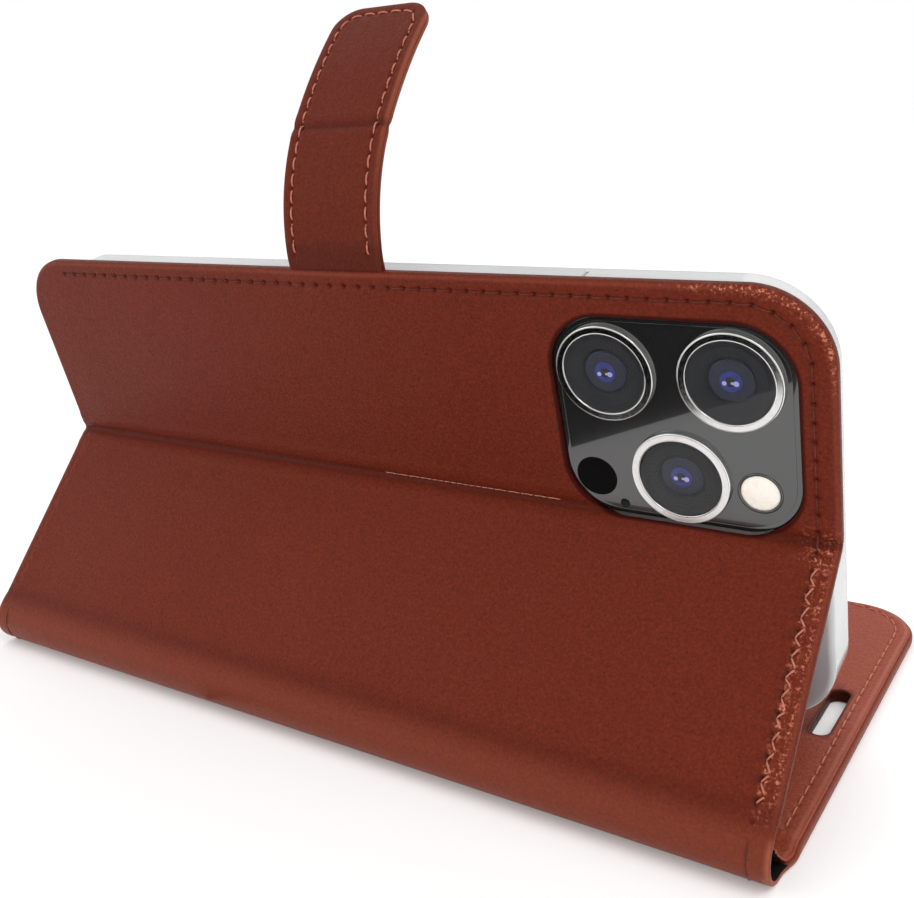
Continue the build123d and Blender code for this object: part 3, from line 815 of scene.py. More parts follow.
def back_bump(x, v):
    high = BACK_SEAM.relief(x, v) + CREASE_SEAM.relief(x, v) + VEES.relief(x, v)
    inset = inset_of(x, v, BACK_HALF, TOP)
    soft = ease(0.5, 9.0, inset) * ease(SEAM_BACK, SEAM_BACK + 4, v)
    high = high + soft * (0.16 * ripple(x, v, 19.0, 1.7) + 0.05 * ripple(x, v, 7.0, 5.1))
    high = high - 0.5 * peak(v, 0, 0.8) + 0.12 * peak(np.abs(v), 2.7, 1.1)
    wave = crinkle(x, v, 0.75, 3.3)
    strength = border(x, v)
    puff = 0.10 * ease(-3.5, 3.5, ripple(x * 0 + np.sign(x), v, 1.4, 8.8) * 10)
    high = high + strength * (0.13 * wave - 0.05 + puff)
    tucks = ease(-5.5, -1.0, v) * ease(5.0, 0.5, v) * ease(74.5, 80.0, np.abs(x))
    high = high + 0.14 * tucks * crinkle(x * 0.35, v, 0.8, 6.1)
    strap = np.exp(-(np.abs(x - STRAP_X) / 11.0) ** 6) * ease(TOP - 9, TOP - 1.2, v)
    return (high + 0.25 * strap) * ease(SEAM_BACK, SEAM_BACK + 0.8, v)


def spine_painted_light(v):
    # Painted light: the leather lighter towards the spine, where it faces the light.
    return 0.13 * ease(-BOARD_END + 1.5, -BOARD_END - 6.0, v)


def wear_and_highlight_back(x, v, depth):
    inset = inset_of(x, v, BACK_HALF, TOP)
    # Lighter on the rolled edge and on the crinkles by the seam: painted highlight with some rubbing, plus
    # the painted light towards the spine.
    edge = peak(inset, 0.5, 0.3) * 0.12
    pad = 0.10 * border(x, v) * crinkle(x, v, 0.75, 3.3)
    return np.clip((edge + pad + spine_painted_light(v)) * (depth < 0.6), 0, 0.85)


def scuff_and_sparkle_back(x, v, depth):
    inset = inset_of(x, v, BACK_HALF, TOP)
    corner = ease(55, 70, x) * ease(TOP - 18, TOP - 8, v) * peak(inset, 0.45, 0.3)
    sides = border(x, v) * (0.45 + 0.75 * crinkle(x, v, 0.75, 3.3)) * ease(0.0, 20.0, x)
    tucks = ease(-5.5, -1.0, v) * ease(5.0, 0.5, v) * ease(74.5, 80.0, x) * 0.5
    # Painted sparkle, partly rubbing, on the far corner, down the sides of the lower panel and in the
    # tucks.
    rubbing_and_sparkle = 0.9 * corner + 0.85 * sides + tucks * crinkle(x * 0.35, v, 0.8, 6.1)
    return np.clip(rubbing_and_sparkle * (depth < 0.6), 0, 1)


def folds(v):
    """Painted shade in the stand crease and along the end of the board."""
    return 0.55 * peak(v, 0, 0.85) + 0.28 * peak(v + BOARD_END, -0.3, 1.7)


def shade_and_edge_paint_back(x, v, depth):
    rim = cut_edge(CAMERA_HOLE)(x, v, depth)
    # Painted shade under the turned edge, on its lower half.
    left = 0.25 * peak(inset_of(x, v, BACK_HALF, TOP), 0.1, 0.5)
    # Painted shade in the needle holes and in the folds.
    holes = 0.85 * dots(BACK_SEAM, x, v) + 0.75 * dots(VEES, x, v, 0.5)
    dark = np.maximum(folds(v), holes) * (depth < 0.8)
    return np.clip(np.maximum(np.maximum(rim, dark), left * (depth > 0.35)), 0, 1)


def cut_edge(opening):
    """Marks the bare cut edge of the leather round an opening."""
    def values(x, v, depth):
        near = opening.covers(x, v, 0.56) & (depth < 3)
        return np.where(near, np.where(opening.covers(x, v, 0.36), 0.9, 0.6), 0.0)
    return values


def nothing(x, v, depth=None):
    return np.zeros(len(x))


def inside(x, v, depth):
    return np.asarray(depth, float)


SLOT_ZERO = CURL_END - (CURL_Y - CREASE.y)
CAMERA_HOLE = Opening(OPENING, OPENING_RADIUS, step=0.4)
SLOT = Opening((SLOT_X - SLOT_WIDTH / 2, SLOT_X + SLOT_WIDTH / 2,
                SLOT_ZERO + SLOT_START, SLOT_ZERO + SLOT_END),
               SLOT_WIDTH / 2, rows=(0.45, 0.3, 0.2, 0.1), step=0.3)


def back_extra():
    """More points where the skin folds."""
    rows = list(np.arange(-4.2, 4.3, 0.4))
    across = np.arange(-BACK_HALF + 4.3, BACK_HALF - 4.2, 0.9)
    more = [(x, v) for v in rows for x in across]
    more += [(x, v) for v in np.arange(SEAM_BACK + 0.45, SEAM_BACK + 4.5, 0.45)
             for x in np.arange(-BACK_HALF + 4.6, BACK_HALF - 4.5, 1.3)]
    return more


def build_back_skin():
    return panel("back_cover_leather", BACK_HALF, SEAM_BACK, TOP, CORNER, thick_skin, lay, back_bump,
                 step=0.32, openings=[CAMERA_HOLE], extra=back_extra(), grid=1.7,
                 marks={"wear_and_highlight": wear_and_highlight_back, "shade_and_edge_paint": shade_and_edge_paint_back, "scuff_and_sparkle": scuff_and_sparkle_back})


def curl_bump(x, v):
    high = sum(seam.relief(x, v) for seam in CURL_SEAMS)
    return high * ease(SEAM_BACK, SEAM_BACK - 0.8, v)


def wear_and_highlight_curl(x, v, depth):
    inset = inset_of(x, v, BACK_HALF, TOP)
    # Lighter along the edge, wear with painted highlight, plus the painted light towards the spine.
    edge = peak(inset, 0.3, 0.25) * 0.4 * ease(SEAM_BACK, SEAM_BACK - 3, v)
    return np.clip(edge + spine_painted_light(v), 0, 1) * (depth < 0.7)


def painted_fold_shade_curl(x, v, depth):
    # Painted shade in the folds.
    return folds(v) * (depth < 0.8)


def curl_place(x, v, depth):
    wide = half_width(v) / BACK_HALF
    return lay(x * wide, v, depth)


def cover_place(x, v, depth):
    """The front cover's skin: v runs outwards from the crease."""
    wide = half_width(-v) / COVER_HALF
    return lay(x * wide, -v, depth)


def thick_cover(v):
    return thick_skin(-np.asarray(v))


def build_curl_skin():
    return band("spine_leather_upper", BACK_HALF, -np.linspace(-SEAM_BACK, -SEAM_CURL, 30),
                thick_skin, curl_place, curl_bump,
                grid=1.7, flip=True, marks={"wear_and_highlight": wear_and_highlight_curl, "shade_and_edge_paint": painted_fold_shade_curl, "inside": inside})


def build_cover_skin():
    def wear_and_highlight(x, v, depth):
        # Lighter along the edge, wear with painted highlight, and painted light near the spine bend.
        inset = inset_of(x, v, COVER_HALF, FAR)
        return np.clip(0.22 * (inset < 1.2) + 0.13 * ease(CURL_END + 8, CURL_END, v), 0, 1)
    rows = np.arange(-SEAM_CURL + 0.3, CURL_END + 7.5, 0.35)
    extra = [(x, v) for v in rows for x in np.arange(-COVER_HALF + 4.5, COVER_HALF - 4.4, 1.6)]
    return panel("front_cover_leather", COVER_HALF, -SEAM_CURL, FAR, CORNER, thick_cover, cover_place,
                 nothing, step=0.4, insets=TOP_INSETS[1:], openings=[SLOT], extra=extra,
                 grid=2.4, flip=True,
                 marks={"wear_and_highlight": wear_and_highlight, "shade_and_edge_paint": cut_edge(SLOT), "inside": inside})


skin_back = build_back_skin()
skin_curl = build_curl_skin()
skin_cover = build_cover_skin()


# ---------------------------------------------------------------- linings


def inner_depth(v):
    """Depth of the lining's free face under the skin's outer face, along the case."""
    v = np.asarray(v, float)
    deep = 1.4 + 0.65 * ease(-BOARD_END - 1.6, -BOARD_END + 0.6, v) + 0.35 * ease(-1.0, 1.0, v)
    drawn_in = ease(-BOARD_END - 1.4, -CURL_START - 3.0, v) * ease(-CURL_END - 3.5, -CURL_END + 1.0, v)
    deep = np.where(v < -CURL_END, 1.4 + 1.0 * ease(COVER_BOARD - 2.4, COVER_BOARD - 0.4, -v), deep)
    return deep + 3.35 * drawn_in


def thick_lining(v):
    v = np.asarray(v, float)
    return np.where(v < -CURL_START, 0.55, 0.45 + 0.15 * ease(-1.0, 1.0, v))


LINING_INSETS = (3.2, 2.9, 2.7, 2.5, 2.3, 2.05, 1.8, 1.5, 1.15, 0.8, 0.5)
LINING_IN = 0.5


def lining_place(x, v, depth):
    return lay(x, v, inner_depth(v) - depth)


def lining_curl_place(x, v, depth):
    wide = (half_width(v) - LINING_IN) / (BACK_HALF - LINING_IN)
    return lay(x * wide, v, inner_depth(v) - depth)


def cover_lining_place(x, v, depth):
    wide = (half_width(-v) - LINING_IN) / (COVER_HALF - LINING_IN)
    return lay(x * wide, -v, inner_depth(-v) - depth)


def lining_bump(x, v):
    high = 0.05 * ripple(x, v, 14.0, 4.2)
    return high * ease(SEAM_BACK, SEAM_BACK + 2, v) * ease(TOP - 2, TOP - 6, v) * ease(2.0, 5.0, np.abs(v))


def cover_lining_bump(x, v):
    high = COVER_SEAM.relief(x, v)
    inset = inset_of(x, v, COVER_HALF, FAR)
    on_board = ease(COVER_BOARD - 1.0, COVER_BOARD + 4.0, v)
    high = high + 0.07 * ripple(x, v, 17.0, 9.4) * ease(1.5, 7.0, inset) * on_board
    pleats = peak(v - COVER_BOARD, 0.5, 1.2) * crinkle(x, v * 0.5, 1.3, 2.2)
    return high + 0.12 * pleats * ease(66, 80, np.abs(x))


def painted_highlight_lining(x, v, depth):
    inset = inset_of(x, v, COVER_HALF, FAR)
    # Painted highlight on the lining's rounded edge and on the puckered lips of its seam.
    edge = 0.35 * peak(inset, 1.15, 0.25)
    lips = 0.3 * peak(COVER_SEAM.relief(x, v), 0.05, 0.02) * (inset < 4.2)
    return np.clip((edge + lips) * (depth < 0.5), 0, 0.8)


lining_hole = Opening(OPENING, OPENING_RADIUS, rows=(1.1, 0.6, 0.3), step=0.8)
LINING_HALF = BACK_HALF - LINING_IN
LINING_ROWS = {"insets": (3.6, 2.4, 1.2, 0.6), "grid": 3.0, "round_top": 0.2}
lining_back = panel("back_cover_lining_skin", LINING_HALF, SEAM_BACK, TOP - LINING_IN, CORNER - LINING_IN,
                    thick_lining, lining_place, lining_bump, step=0.8, openings=[lining_hole], flip=True,
                    extra=[(x, v) for v in np.arange(-4, 4.1, 0.5) for x in np.arange(-78, 78.1, 3.0)],
                    marks={"wear_and_highlight": nothing, "shade_and_edge_paint": nothing}, **LINING_ROWS)
lining_curl = band("spine_lining_upper", LINING_HALF, -np.linspace(-SEAM_BACK, -SEAM_CURL, 22),
                   thick_lining, lining_curl_place, nothing,
                   marks={"wear_and_highlight": nothing, "shade_and_edge_paint": nothing, "inside": inside}, **LINING_ROWS)
lining_cover = panel("front_cover_lining_skin", COVER_HALF - LINING_IN, -SEAM_CURL, FAR - 1.0,
                     CORNER - 1.0, lambda v: thick_lining(-v), cover_lining_place, cover_lining_bump,
                     step=0.4, insets=LINING_INSETS, openings=[SLOT], grid=2.2, round_top=0.25,
                     extra=[(x, v) for v in np.arange(-SEAM_CURL + 0.4, COVER_BOARD + 2.4, 0.45)
                            for x in np.arange(-79, 79.1, 1.8)],
                     marks={"wear_and_highlight": painted_highlight_lining, "shade_and_edge_paint": cut_edge(SLOT), "inside": inside})
for piece, replaced in ((lining_back, ("back_lower_lining", "back_upper_lining")),
                        (lining_curl, ("spine_lining",)), (lining_cover, ("front_cover_lining",))):
    dress(piece, INNER, None, replaced)


def paint_hollow_shade(obj, deeper_than):
    """Near-black painted shade on the faces that look into the hollow of the spine."""
    depth = obj.data.attributes["inside"].data
    obj.data.materials.append(HOLLOW_SHADE)
    for polygon in obj.data.polygons:
        centre = polygon.center / MM
        near = centre.z < CURL + 7 and centre.y < CURL_Y + 2.5
        inner = min(depth[k].value for k in polygon.vertices) > deeper_than
        if near and inner and abs(polygon.normal.x) < 0.5:
            polygon.material_index = 1


def on_lining(v):
    return on_section(v, float(inner_depth(v)))


paint_hollow_shade(lining_curl, 0.45)
paint_hollow_shade(lining_cover, 0.45)
CREASE_SPAN = on_section(-2.4), on_section(0.2)
UPPER_SPAN = on_section(-CURL_MIDDLE), on_section(-CURL_START)
LOWER_SPAN = on_section(-CURL_END), on_section(-CURL_MIDDLE)
bend(lining_back, "back_lower", "back_upper", *CREASE_SPAN)
bend(lining_curl, "spine", "back_lower", on_lining(SEAM_CURL), on_lining(SEAM_BACK))
bend(lining_cover, "front_cover", "spine", on_lining(-CURL_END - 3.5), on_lining(SEAM_CURL))

# ---------------------------------------------------------------- card pockets


def pocket(number):
    """One stepped pocket leaf. Its finished edge faces the spine, and v runs towards it."""
    node = f"card_pocket_{number}"
    low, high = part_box(node)
    low, high = low / MM, high / MM
    middle, half = (low.x + high.x) / 2, (high.x - low.x) / 2

    def place(x, v, depth):
        return np.stack((middle + x, -v, high.z - depth), 1)

    def bump(x, v):
        free = ease(-high.y + 3, -high.y + 9, v) * ease(half - 1, half - 6, np.abs(x))
        edge = peak(v + low.y, -2.0, 0.35)
        return free * (0.06 + 0.10 * ripple(x, v, 15.0, number)) + seam.relief(x, v) - 0.08 * edge

    side, near, far = half - 1.6, -low.y - 1.5, -high.y + 1.6
    line = np.array([(-side, near), (-side, far), (side, far), (side, near)])
    seam = Seam(walk(line, 0.3), PITCH, groove=0.06, hole=0.2, pucker=0.03)
    leaf = panel(f"card_pocket_leaf_{number}", half, -high.y, -low.y, 1.6,
                 lambda v: np.full(len(v), 0.42), place, bump, step=0.6,
                 insets=(1.5, 1.3, 1.0, 0.7, 0.45), grid=1.2, flip=True, round_top=0.16, cap=True,
                 marks={"wear_and_highlight": lambda x, v, d: 0.3 * (v > -low.y - 0.5) * (d < 0.3), "shade_and_edge_paint": nothing})
    dress(leaf, INNER, "front_cover", (node,))
    stitches = threads(f"card_pocket_stitching_{number}", [seam], place, radius=0.16, proud=0.06,
                       depth=0.15)
    dress(stitches, THREAD, "front_cover")


for number in (1, 2, 3):
    pocket(number)

# ---------------------------------------------------------------- strap

STRAP_LAYER = 0.8
ROOT_START, ROOT_LENGTH, FOLD_LENGTH, TIP_LENGTH = 3.1, 20.4, 1.2, 24.4
STRAP_BEND, STRAP_FOLD = -0.9, 21.0
STRAP_MIDDLE, STRAP_END = 11.0, ROOT_LENGTH + FOLD_LENGTH + TIP_LENGTH


def strap_curve():
    """Outer face of the strap in the upper panel's frame: (distance along, up, behind, heading)."""
    step = 0.05
    along = np.arange(-8.0, STRAP_END + 0.5, step)
    heading = np.interp(along, (-8, -2.5, 0, ROOT_LENGTH, ROOT_LENGTH + 0.35, ROOT_LENGTH + 0.85,
                                ROOT_LENGTH + FOLD_LENGTH, STRAP_END),
                        np.radians((0, 0, 10, 42.5, 40, 48, 45.5, 62)))
    up = np.cumsum(np.cos(heading)) * step
    back = np.cumsum(np.sin(heading)) * step
    zero = np.searchsorted(along, 0.0)
    return along, up - up[zero] + ROOT_START, back - back[zero] + 0.6, heading


STRAP_CURVE = strap_curve()


def strap_place(offset):
    """Placing function for a strap layer whose outer face lies offset behind the outer one."""
    along, up, back, heading = STRAP_CURVE

    def place(x, v, depth):
        turn = np.interp(v, along, heading)
        total = np.asarray(depth) + offset
        u = np.interp(v, along, up) - total * np.sin(turn)
        n = np.interp(v, along, back) + total * np.cos(turn)
        yz = np.array((CREASE.y, CREASE.z)) + (u + TOP)[:, None] * UP - n[:, None] * UP_OUT
        return np.stack((np.asarray(x) + STRAP_X, yz[:, 0], yz[:, 1]), 1)

    return place


def strap_seam():
    line = rim_path(STRAP_HALF, -0.5, STRAP_END, 5.0, 1.95, 0.25)
    return Seam(line, 2.75, groove=0.05, hole=0.30, pucker=0.02)


STRAP_SEAM = strap_seam()


def strap_bump(x, v):
    high = STRAP_SEAM.relief(x, v) - 0.38 * peak(v, STRAP_FOLD, 0.6)
    high = high + 0.07 * peak(np.abs(v - STRAP_FOLD), 1.7, 0.8)
    return high + 0.06 * ripple(x, v, 8.0, 6.6) * ease(STRAP_HALF, STRAP_HALF - 4, np.abs(x))


def strap_wear_and_highlight(x, v, depth):
    inset = np.minimum(STRAP_HALF - np.abs(x), STRAP_END - v)
    # Lighter along the edges: wear, with a painted highlight that grows towards one side and the tip.
    rim = 0.10 + 0.30 * ease(4, 9, x) * ease(4, 30, v)
    return np.clip(rim * peak(inset, 0.15, 0.3), 0, 1)


def flat_layer(v):
    return np.full(len(v), STRAP_LAYER - 0.05)


STRAP_INSETS = (3.4, 3.0, 2.6, 2.3, 2.1, 1.9, 1.7, 1.45, 1.1, 0.75)


def strap_pieces(name, offset, mirrored, replaced):
    facing = strap_place(offset)

    def place(x, v, depth):
        return facing(x, v, STRAP_LAYER - 0.05 - np.asarray(depth) if mirrored else depth)

    def shade_and_edge_paint(x, v, depth):
        # Painted shade in the fold, where the strap goes in behind the leather, and in the needle holes.
        fold = 0.4 * peak(v, STRAP_FOLD, 0.8) + 0.35 * ease(3.0, 0.0, v)
        return np.clip(np.maximum(fold, 0.6 * dots(STRAP_SEAM, x, v, 0.35)), 0, 1)

    marks = {"wear_and_highlight": strap_wear_and_highlight, "shade_and_edge_paint": shade_and_edge_paint}
    stations = np.concatenate((np.arange(STRAP_MIDDLE, -6.1, -0.45), (-6.5,)))
    root = band(f"strap_root_{name}_leather", STRAP_HALF, stations, flat_layer, place, strap_bump,
                insets=STRAP_INSETS, grid=1.1, round_top=0.42, flip=not mirrored, marks=marks)
    extra = [(x, v) for v in np.arange(STRAP_FOLD - 2.6, STRAP_FOLD + 2.7, 0.3)
             for x in np.arange(-7, 7.1, 0.8)]
    tip = panel(f"strap_tip_{name}_leather", STRAP_HALF, STRAP_MIDDLE, STRAP_END, 5.0, flat_layer, place,
                strap_bump, step=0.35, insets=STRAP_INSETS, extra=extra, grid=1.1, round_top=0.42,
                flip=mirrored, marks=marks)
    weld_normals([root, tip])
    dress(root, STRAP_SKIN, None, replaced)
    dress(tip, STRAP_SKIN, None, (f"strap_tip_{name}",))
    bend_strap(root, tip)


def bend_strap(root, tip):
    centre = strap_place(STRAP_LAYER)

    def at(v):
        return centre(np.array([0.0]), np.array([v]), np.array([0.0]))[0]

    if root:
        bend(root, "back_upper", "strap_root", at(STRAP_BEND - 1.6), at(STRAP_BEND + 2.4))
    if tip:
        bend(tip, "strap_root", "strap_tip", at(STRAP_FOLD - 1.6), at(STRAP_FOLD + 1.6))


strap_pieces("outer", 0.0, False, ("strap_root_outer", "strap_tab"))
strap_pieces("inner", STRAP_LAYER + 0.05, True, ("strap_root_inner",))


def magnet():
    """Flat magnet sewn between the strap's two layers."""
    middle = ROOT_LENGTH + FOLD_LENGTH + TIP_LENGTH / 2
    plate = panel("strap_magnet_plate", 7.0, middle - 6, middle + 6, 2.0, lambda v: np.full(len(v), 0.5),
                  strap_place(STRAP_LAYER - 0.25), nothing, step=0.5, insets=(1.4, 1.2), grid=2.0,
                  round_top=0.1, cap=True)
    dress(plate, MAGNET, "strap_tip", ("strap_magnet",))


magnet()
for half_name, test in (("root", lambda x, v: v < STRAP_MIDDLE),
                        ("tip", lambda x, v: v >= STRAP_MIDDLE)):
    for face, offset, sign in (("outer", 0.0, 1), ("inner", 2 * STRAP_LAYER, -1)):
        base = strap_place(offset)
        stitches = threads(f"strap_{half_name}_stitching_{face}", [STRAP_SEAM],
                           lambda x, v, d, base=base, sign=sign: base(x, v, sign * np.asarray(d)),
                           keep=test, radius=0.15, proud=0.08, depth=0.5)
        dress(stitches, HIGHLIT_THREAD, None)
        if half_name == "root":
            bend_strap(stitches, None)
        else:
            bend_strap(None, stitches)

# ---------------------------------------------------------------- stitching of the covers


def stitch_back():
    stitches = threads("back_cover_stitching", [BACK_SEAM], lay, keep=lambda x, v: v > -1.5,
                       radius=0.15, proud=0.03, depth=0.45)
    vees = threads("lower_panel_stitching", [VEES], lay, radius=0.15, proud=0.06, depth=0.25)
    crease = threads("crease_stitching", [CREASE_SEAM], lay, keep=lambda x, v: 2 < x < 37 or x > 80.6,
                     radius=0.10, proud=-0.27, depth=0.2)
    for piece, material in ((stitches, THREAD), (vees, HIGHLIT_THREAD), (crease, HIGHLIT_THREAD)):
        dress(piece, material, None)
        bend(piece, "back_lower", "back_upper", *CREASE_SPAN)
    for half_name, test, bodies, span in (
            ("upper", lambda x, v: v > SEAM_CURL, ("spine", "back_lower"), UPPER_SPAN),
            ("lower", lambda x, v: v <= SEAM_CURL, ("front_cover", "spine"), LOWER_SPAN)):
        piece = threads(f"spine_stitching_{half_name}", CURL_SEAMS, curl_place, keep=test,
                        radius=0.15, proud=0.0, depth=0.25)
        dress(piece, THREAD, None)
        bend(piece, *bodies, *span)


def stitch_cover():
    inner = threads("front_cover_stitching", [COVER_SEAM], cover_lining_place,
                    radius=0.15, proud=0.06, depth=0.4)
    dress(inner, HIGHLIT_THREAD, "front_cover")


stitch_back()
stitch_cover()

# ---------------------------------------------------------------- camera


def round_part(node):
    """Centre (x, up), radius, and nearest and furthest depth of a round CAD part."""
    low, high = upper_extent(node)
    return (low[0] + high[0]) / 2, (low[1] + high[1]) / 2, (high[0] - low[0]) / 2, low[2], high[2]


def lathe(name, x, up, profile, sides=96):
    """A turned piece on the camera plateau: profile is a line of (radius, depth) points."""
    points, faces = [], []
    for radius, depth in profile:
        for k in range(sides):
            a = 2 * math.pi * k / sides
            points.append(upper_point(x + radius * math.cos(a), up + radius * math.sin(a), depth))
    for row in range(len(profile) - 1):
        for k in range(sides):
            n = (k + 1) % sides
            a, b = row * sides, (row + 1) * sides
            faces.append((a + k, a + n, b + n, b + k))
    if profile[0][0] > 0.01:
        faces.append(tuple(range(sides))[::-1])
    faces.append(tuple((len(profile) - 1) * sides + k for k in range(sides)))
    return make(name, np.array([tuple(p) for p in points]), faces)


def dome(radius, edge, rise, steps=8):
    """Profile of a shallow dome from its rim to its middle, rising towards the viewer."""
    return [(radius * (1 - k / steps) + 0.012, edge - rise * math.sin(math.pi / 2 * k / steps))
            for k in range(steps + 1)]


def lens(number):
    x, up, radius, top, seat = round_part(f"lens_ring_{number}")
    scale = radius / 7.9
    band_rows = ((0.0, 0.14), (0.03, 0.07), (0.09, 0.02), (0.17, 0.0), (0.23, 0.03), (0.27, 0.035),
                 (0.32, 0.035), (1.08, 0.035), (1.13, 0.035), (1.17, 0.01), (1.24, 0.01), (1.3, 0.09))
    ring = lathe(f"lens_ring_metal_{number}", x, up, [
        (7.2 * scale, seat), (radius, seat), *((radius - step, top + drop) for step, drop in band_rows),
        (radius - 1.34, seat - 0.2)])
    dress(ring, RING, "phone", (f"lens_ring_{number}",))
    steps = [(6.5 * scale, top + 0.3)]
    for k in range(9):
        r = (6.42 - 0.09 * k) * scale
        steps += [(r, top + 0.31 + 0.035 * k), (r - 0.04, top + 0.345 + 0.035 * k)]
    steps += [(5.4 * scale, top + 0.66), (4.1 * scale, top + 0.7), (3.55 * scale, top + 0.86)]
    wall = lathe(f"lens_inner_wall_{number}", x, up, [(6.5 * scale, seat - 0.22), *steps,
                                                       (3.5 * scale, seat - 0.22)])
    dress(wall, CONE, "phone")
    for name, material, foot, radius, edge, rise in (
            ("blue_element", BLUE, (3.5, 1.0), 3.45, 0.9, 0.14),
            ("violet_element", VIOLET, (1.75, 0.84), 1.6, 0.75, 0.05),
            ("pupil", DEEP, (0.8, 0.72), 0.75, 0.69, 0.03)):
        disc = lathe(f"lens_{name}_{number}", x, up, [
            (foot[0] * scale, top + foot[1]), *dome(radius * scale, top + edge, rise)])
        dress(disc, material, "phone")
    # Small pale discs inside each lens: painted glints.
    for k, (angle, far, size) in enumerate(((195, 0.95, 0.34), (-15, 0.85, 0.42), (-35, 0.3, 0.2))):
        a = math.radians(angle)
        glint = lathe(f"lens_glint_{number}_{k + 1}", x + far * scale * math.cos(a),
                      up + far * scale * math.sin(a),
                      [(size, top + 0.68)] + dome(size, top + 0.65, 0.05, 5), 24)
        dress(glint, GLINT, "phone")
    cover = lathe(f"lens_cover_glass_{number}", x, up, [
        (0.012, top + 0.26), (0.4, top + 0.26), (6.3 * scale, top + 0.26), (6.4 * scale, top + 0.26),
        (6.5 * scale, top + 0.25), (6.53 * scale, top + 0.2), (6.48 * scale, top + 0.16),
        (6.4 * scale, top + 0.15), (6.3 * scale, top + 0.15), (0.4, top + 0.15), (0.012, top + 0.15)])
    dress(cover, CLEAR_GLASS, "phone", (f"lens_glass_{number}",))


def clear_glass():
    s = Shader("lens_clear_glass")
    smear = s.noise(120, 3)
    return s.set(Base_Color=s.mix(s.span(smear, 0.3, 0.7), (0.95, 0.96, 1.0), (0.9, 0.92, 0.97)),
                 Roughness=s.span(smear, 0.3, 0.7, 0.01, 0.03), Transmission_Weight=1.0, IOR=1.3)


CLEAR_GLASS = clear_glass()
for number in (1, 2, 3):
    lens(number)


def flat_place(x, v, depth):
    yz = np.array((CREASE.y, CREASE.z)) + np.outer(v, UP) - np.outer(depth, UP_OUT)
    return np.stack((x, yz[:, 0], yz[:, 1]), 1)


def plateau_flange():
    """Flat rim of the camera plateau, which fills the gap to the leather."""
    made = Builder(flat_place)
    face = PLATEAU_LOW[2]
    loops = [made.row(ring_path(OPENING, OPENING_RADIUS, grow, 0.5), depth) for grow, depth in (
        (-0.04, face + 1.6), (-0.04, face + 0.06), (-0.08, face + 0.01), (-0.14, face - 0.01),
        (-0.2, face - 0.01), (-0.8, face - 0.01), (-0.86, face), (-0.9, face + 0.5))]
    for a, b in zip(loops, loops[1:] + loops[:1]):
        made.join(a, b, closed=True)
    dress(made.finish("camera_plateau_rim"), PLATEAU, "phone")


plateau_flange()


def small_parts():
    """Flash, scanner window and microphone of the camera."""
    x, up, r, top, _ = round_part("flash_lens")
    rim = lathe("flash_rim", x, up, [(r, top + 0.45), (r + 0.02, top - 0.1), (r - 0.08, top - 0.16),
                                    (r - 0.3, top - 0.15), (r - 0.42, top - 0.06), (r - 0.45, top + 0.3)])
    dress(rim, metal("flash_rim_metal", (0.12, 0.12, 0.125), 0.2), "phone")
    body = lathe("flash_diffuser_lens", x, up,
                 [(r - 0.44, top + 0.3)] + dome(r - 0.46, top + 0.02, 0.22, 10))
    dress(body, FLASH, "phone", ("flash_lens",))
    x, up, r, top, _ = round_part("scanner_window")
    window = lathe("scanner_black_window", x, up, [(r, top + 0.4), (r, top - 0.02), (r - 0.07, top - 0.05),
                                                   (r - 0.16, top - 0.03), (0.012, top - 0.03)])
    dress(window, BLACK_GLASS, "phone", ("scanner_window",))
    x, up, r, top, _ = round_part("microphone_mesh")
    hole = lathe("microphone_port", x, up, [(r, top + 0.4), (r + 0.1, top - 0.02), (r, top - 0.06),
                                            (r - 0.08, top + 0.05), (r - 0.12, top + 0.3),
                                            (0.012, top + 0.28)], 32)
    dress(hole, MESH, "phone", ("microphone_mesh",))


small_parts()


def carried_over():
    """Better materials for the CAD pieces that stay as they are."""
    table = {"tray": TRAY, "power_pad": TRAY, "volume_pad_1": TRAY, "volume_pad_2": TRAY,
             "phone_frame": FRAME, "phone_power_key": FRAME, "phone_volume_keys": FRAME,
             "phone_back_glass": BACK_GLASS, "phone_screen": SCREEN, "camera_plateau": PLATEAU,
             "back_upper_board": BOARD, "back_lower_board": BOARD, "front_cover_board": BOARD,
             "closure_plate": STEEL}
    for name, material in table.items():
        mesh = frame["nodes"][name].data
        if not mesh.materials:
            mesh.materials.append(material)
        for k in range(len(mesh.materials)):
            mesh.materials[k] = material


carried_over()


# ---------------------------------------------------------------- lights, floor and camera


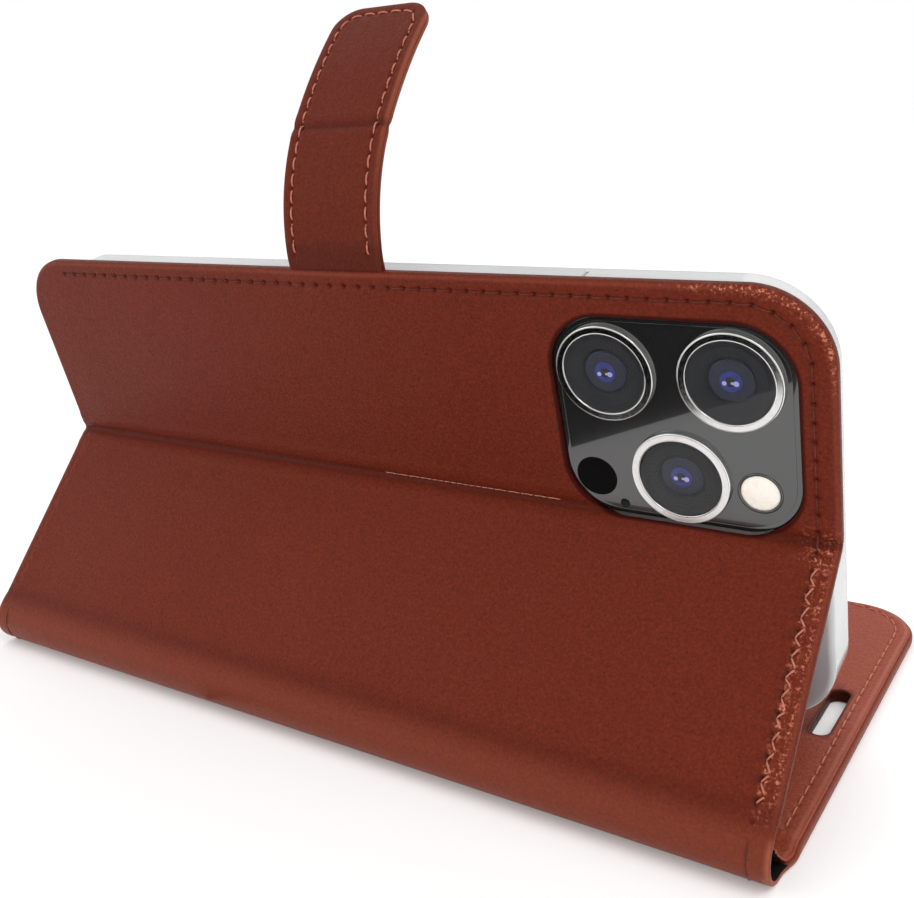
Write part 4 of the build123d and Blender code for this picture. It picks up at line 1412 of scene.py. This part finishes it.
def stage_and_camera():
    scene = bpy.context.scene
    scene.view_settings.view_transform = "Standard"
    world = bpy.data.worlds.new("studio")
    scene.world = world
    world.use_nodes = True
    background = world.node_tree.nodes["Background"]
    background.inputs[0].default_value = (1.0, 1.0, 1.0, 1.0)
    background.inputs[1].default_value = 1.0
    bpy.ops.mesh.primitive_plane_add(size=6.0, location=(0, 0, -0.0002))
    floor = bpy.context.object
    floor.name = "studio_floor"
    s = Shader("studio_floor")
    colour = s.mix(s.span(s.noise(6, 2), 0.3, 0.7, 0, 0.2), (0.90, 0.90, 0.90), (0.88, 0.88, 0.88))
    floor.data.materials.append(s.set(Base_Color=colour, Roughness=0.9, Specular_IOR_Level=0.1,
                                      Emission_Color=(1.0, 1.0, 1.0), Emission_Strength=0.12))
    for name, place, size, power, colour in (
            ("key_softbox", (0.45, -0.15, 0.62), 0.35, 1.3, (1.0, 0.98, 0.95)),
            ("left_softbox", (-0.55, -0.6, 0.35), 0.5, 0.7, (1.0, 1.0, 1.0)),
            ("back_softbox", (0.1, 0.6, 0.5), 0.5, 0.5, (1.0, 1.0, 1.0))):
        light = bpy.data.lights.new(name, "AREA")
        light.size, light.energy, light.color = size, power, colour
        lamp = bpy.data.objects.new(name, light)
        lamp.location = place
        aim = Vector((0.0, -0.01, 0.05)) - Vector(place)
        lamp.rotation_euler = aim.to_track_quat("-Z", "Y").to_euler()
        scene.collection.objects.link(lamp)
    corners = [(-22.0, -45.3, 2.0), (72.0, -108.2, 2.0), (20.0, -190.0, 2.0), (-80.0, -125.0, 2.0)]
    flag = make("dark_flag", corners, [(0, 1, 2, 3)], smooth=False)
    flag.visible_camera = flag.visible_diffuse = flag.visible_shadow = flag.visible_transmission = False
    flag.data.materials.append(Shader("dark_flag").set(
        Base_Color=(0.004, 0.004, 0.004), Roughness=1.0, Specular_IOR_Level=0.0))
    azimuth, height, roll = (math.radians(a) for a in (34.0946, 16.9573, -3.4029))
    back = Vector((math.sin(azimuth) * math.cos(height), -math.cos(azimuth) * math.cos(height),
                   math.sin(height)))
    right = (-back).cross(Vector((0, 0, 1))).normalized()
    over = right.cross(-back)
    across = right * math.cos(roll) + over * math.sin(roll)
    upward = over * math.cos(roll) - right * math.sin(roll)
    camera = bpy.data.objects.new("camera", bpy.data.cameras.new("camera"))
    camera.data.sensor_width = 36.0
    camera.data.lens = 43.437
    camera.data.clip_start = 0.005
    camera.matrix_world = Matrix((
        (across.x, upward.x, back.x, 0.120166), (across.y, upward.y, back.y, -0.168612),
        (across.z, upward.z, back.z, 0.102816), (0, 0, 0, 1)))
    scene.collection.objects.link(camera)
    scene.camera = camera


weld_normals([skin_back, skin_curl, skin_cover])
for piece, replaced in ((skin_back, ("back_lower_skin", "back_upper_skin")),
                        (skin_curl, ("spine_skin",)), (skin_cover, ("front_cover_skin",))):
    dress(piece, OUTER, None, replaced)
paint_hollow_shade(skin_curl, 0.6)
paint_hollow_shade(skin_cover, 0.6)
bend(skin_back, "back_lower", "back_upper", *CREASE_SPAN)
bend(skin_curl, "spine", "back_lower", *UPPER_SPAN)
bend(skin_cover, "front_cover", "spine", *LOWER_SPAN)

stage_and_camera()
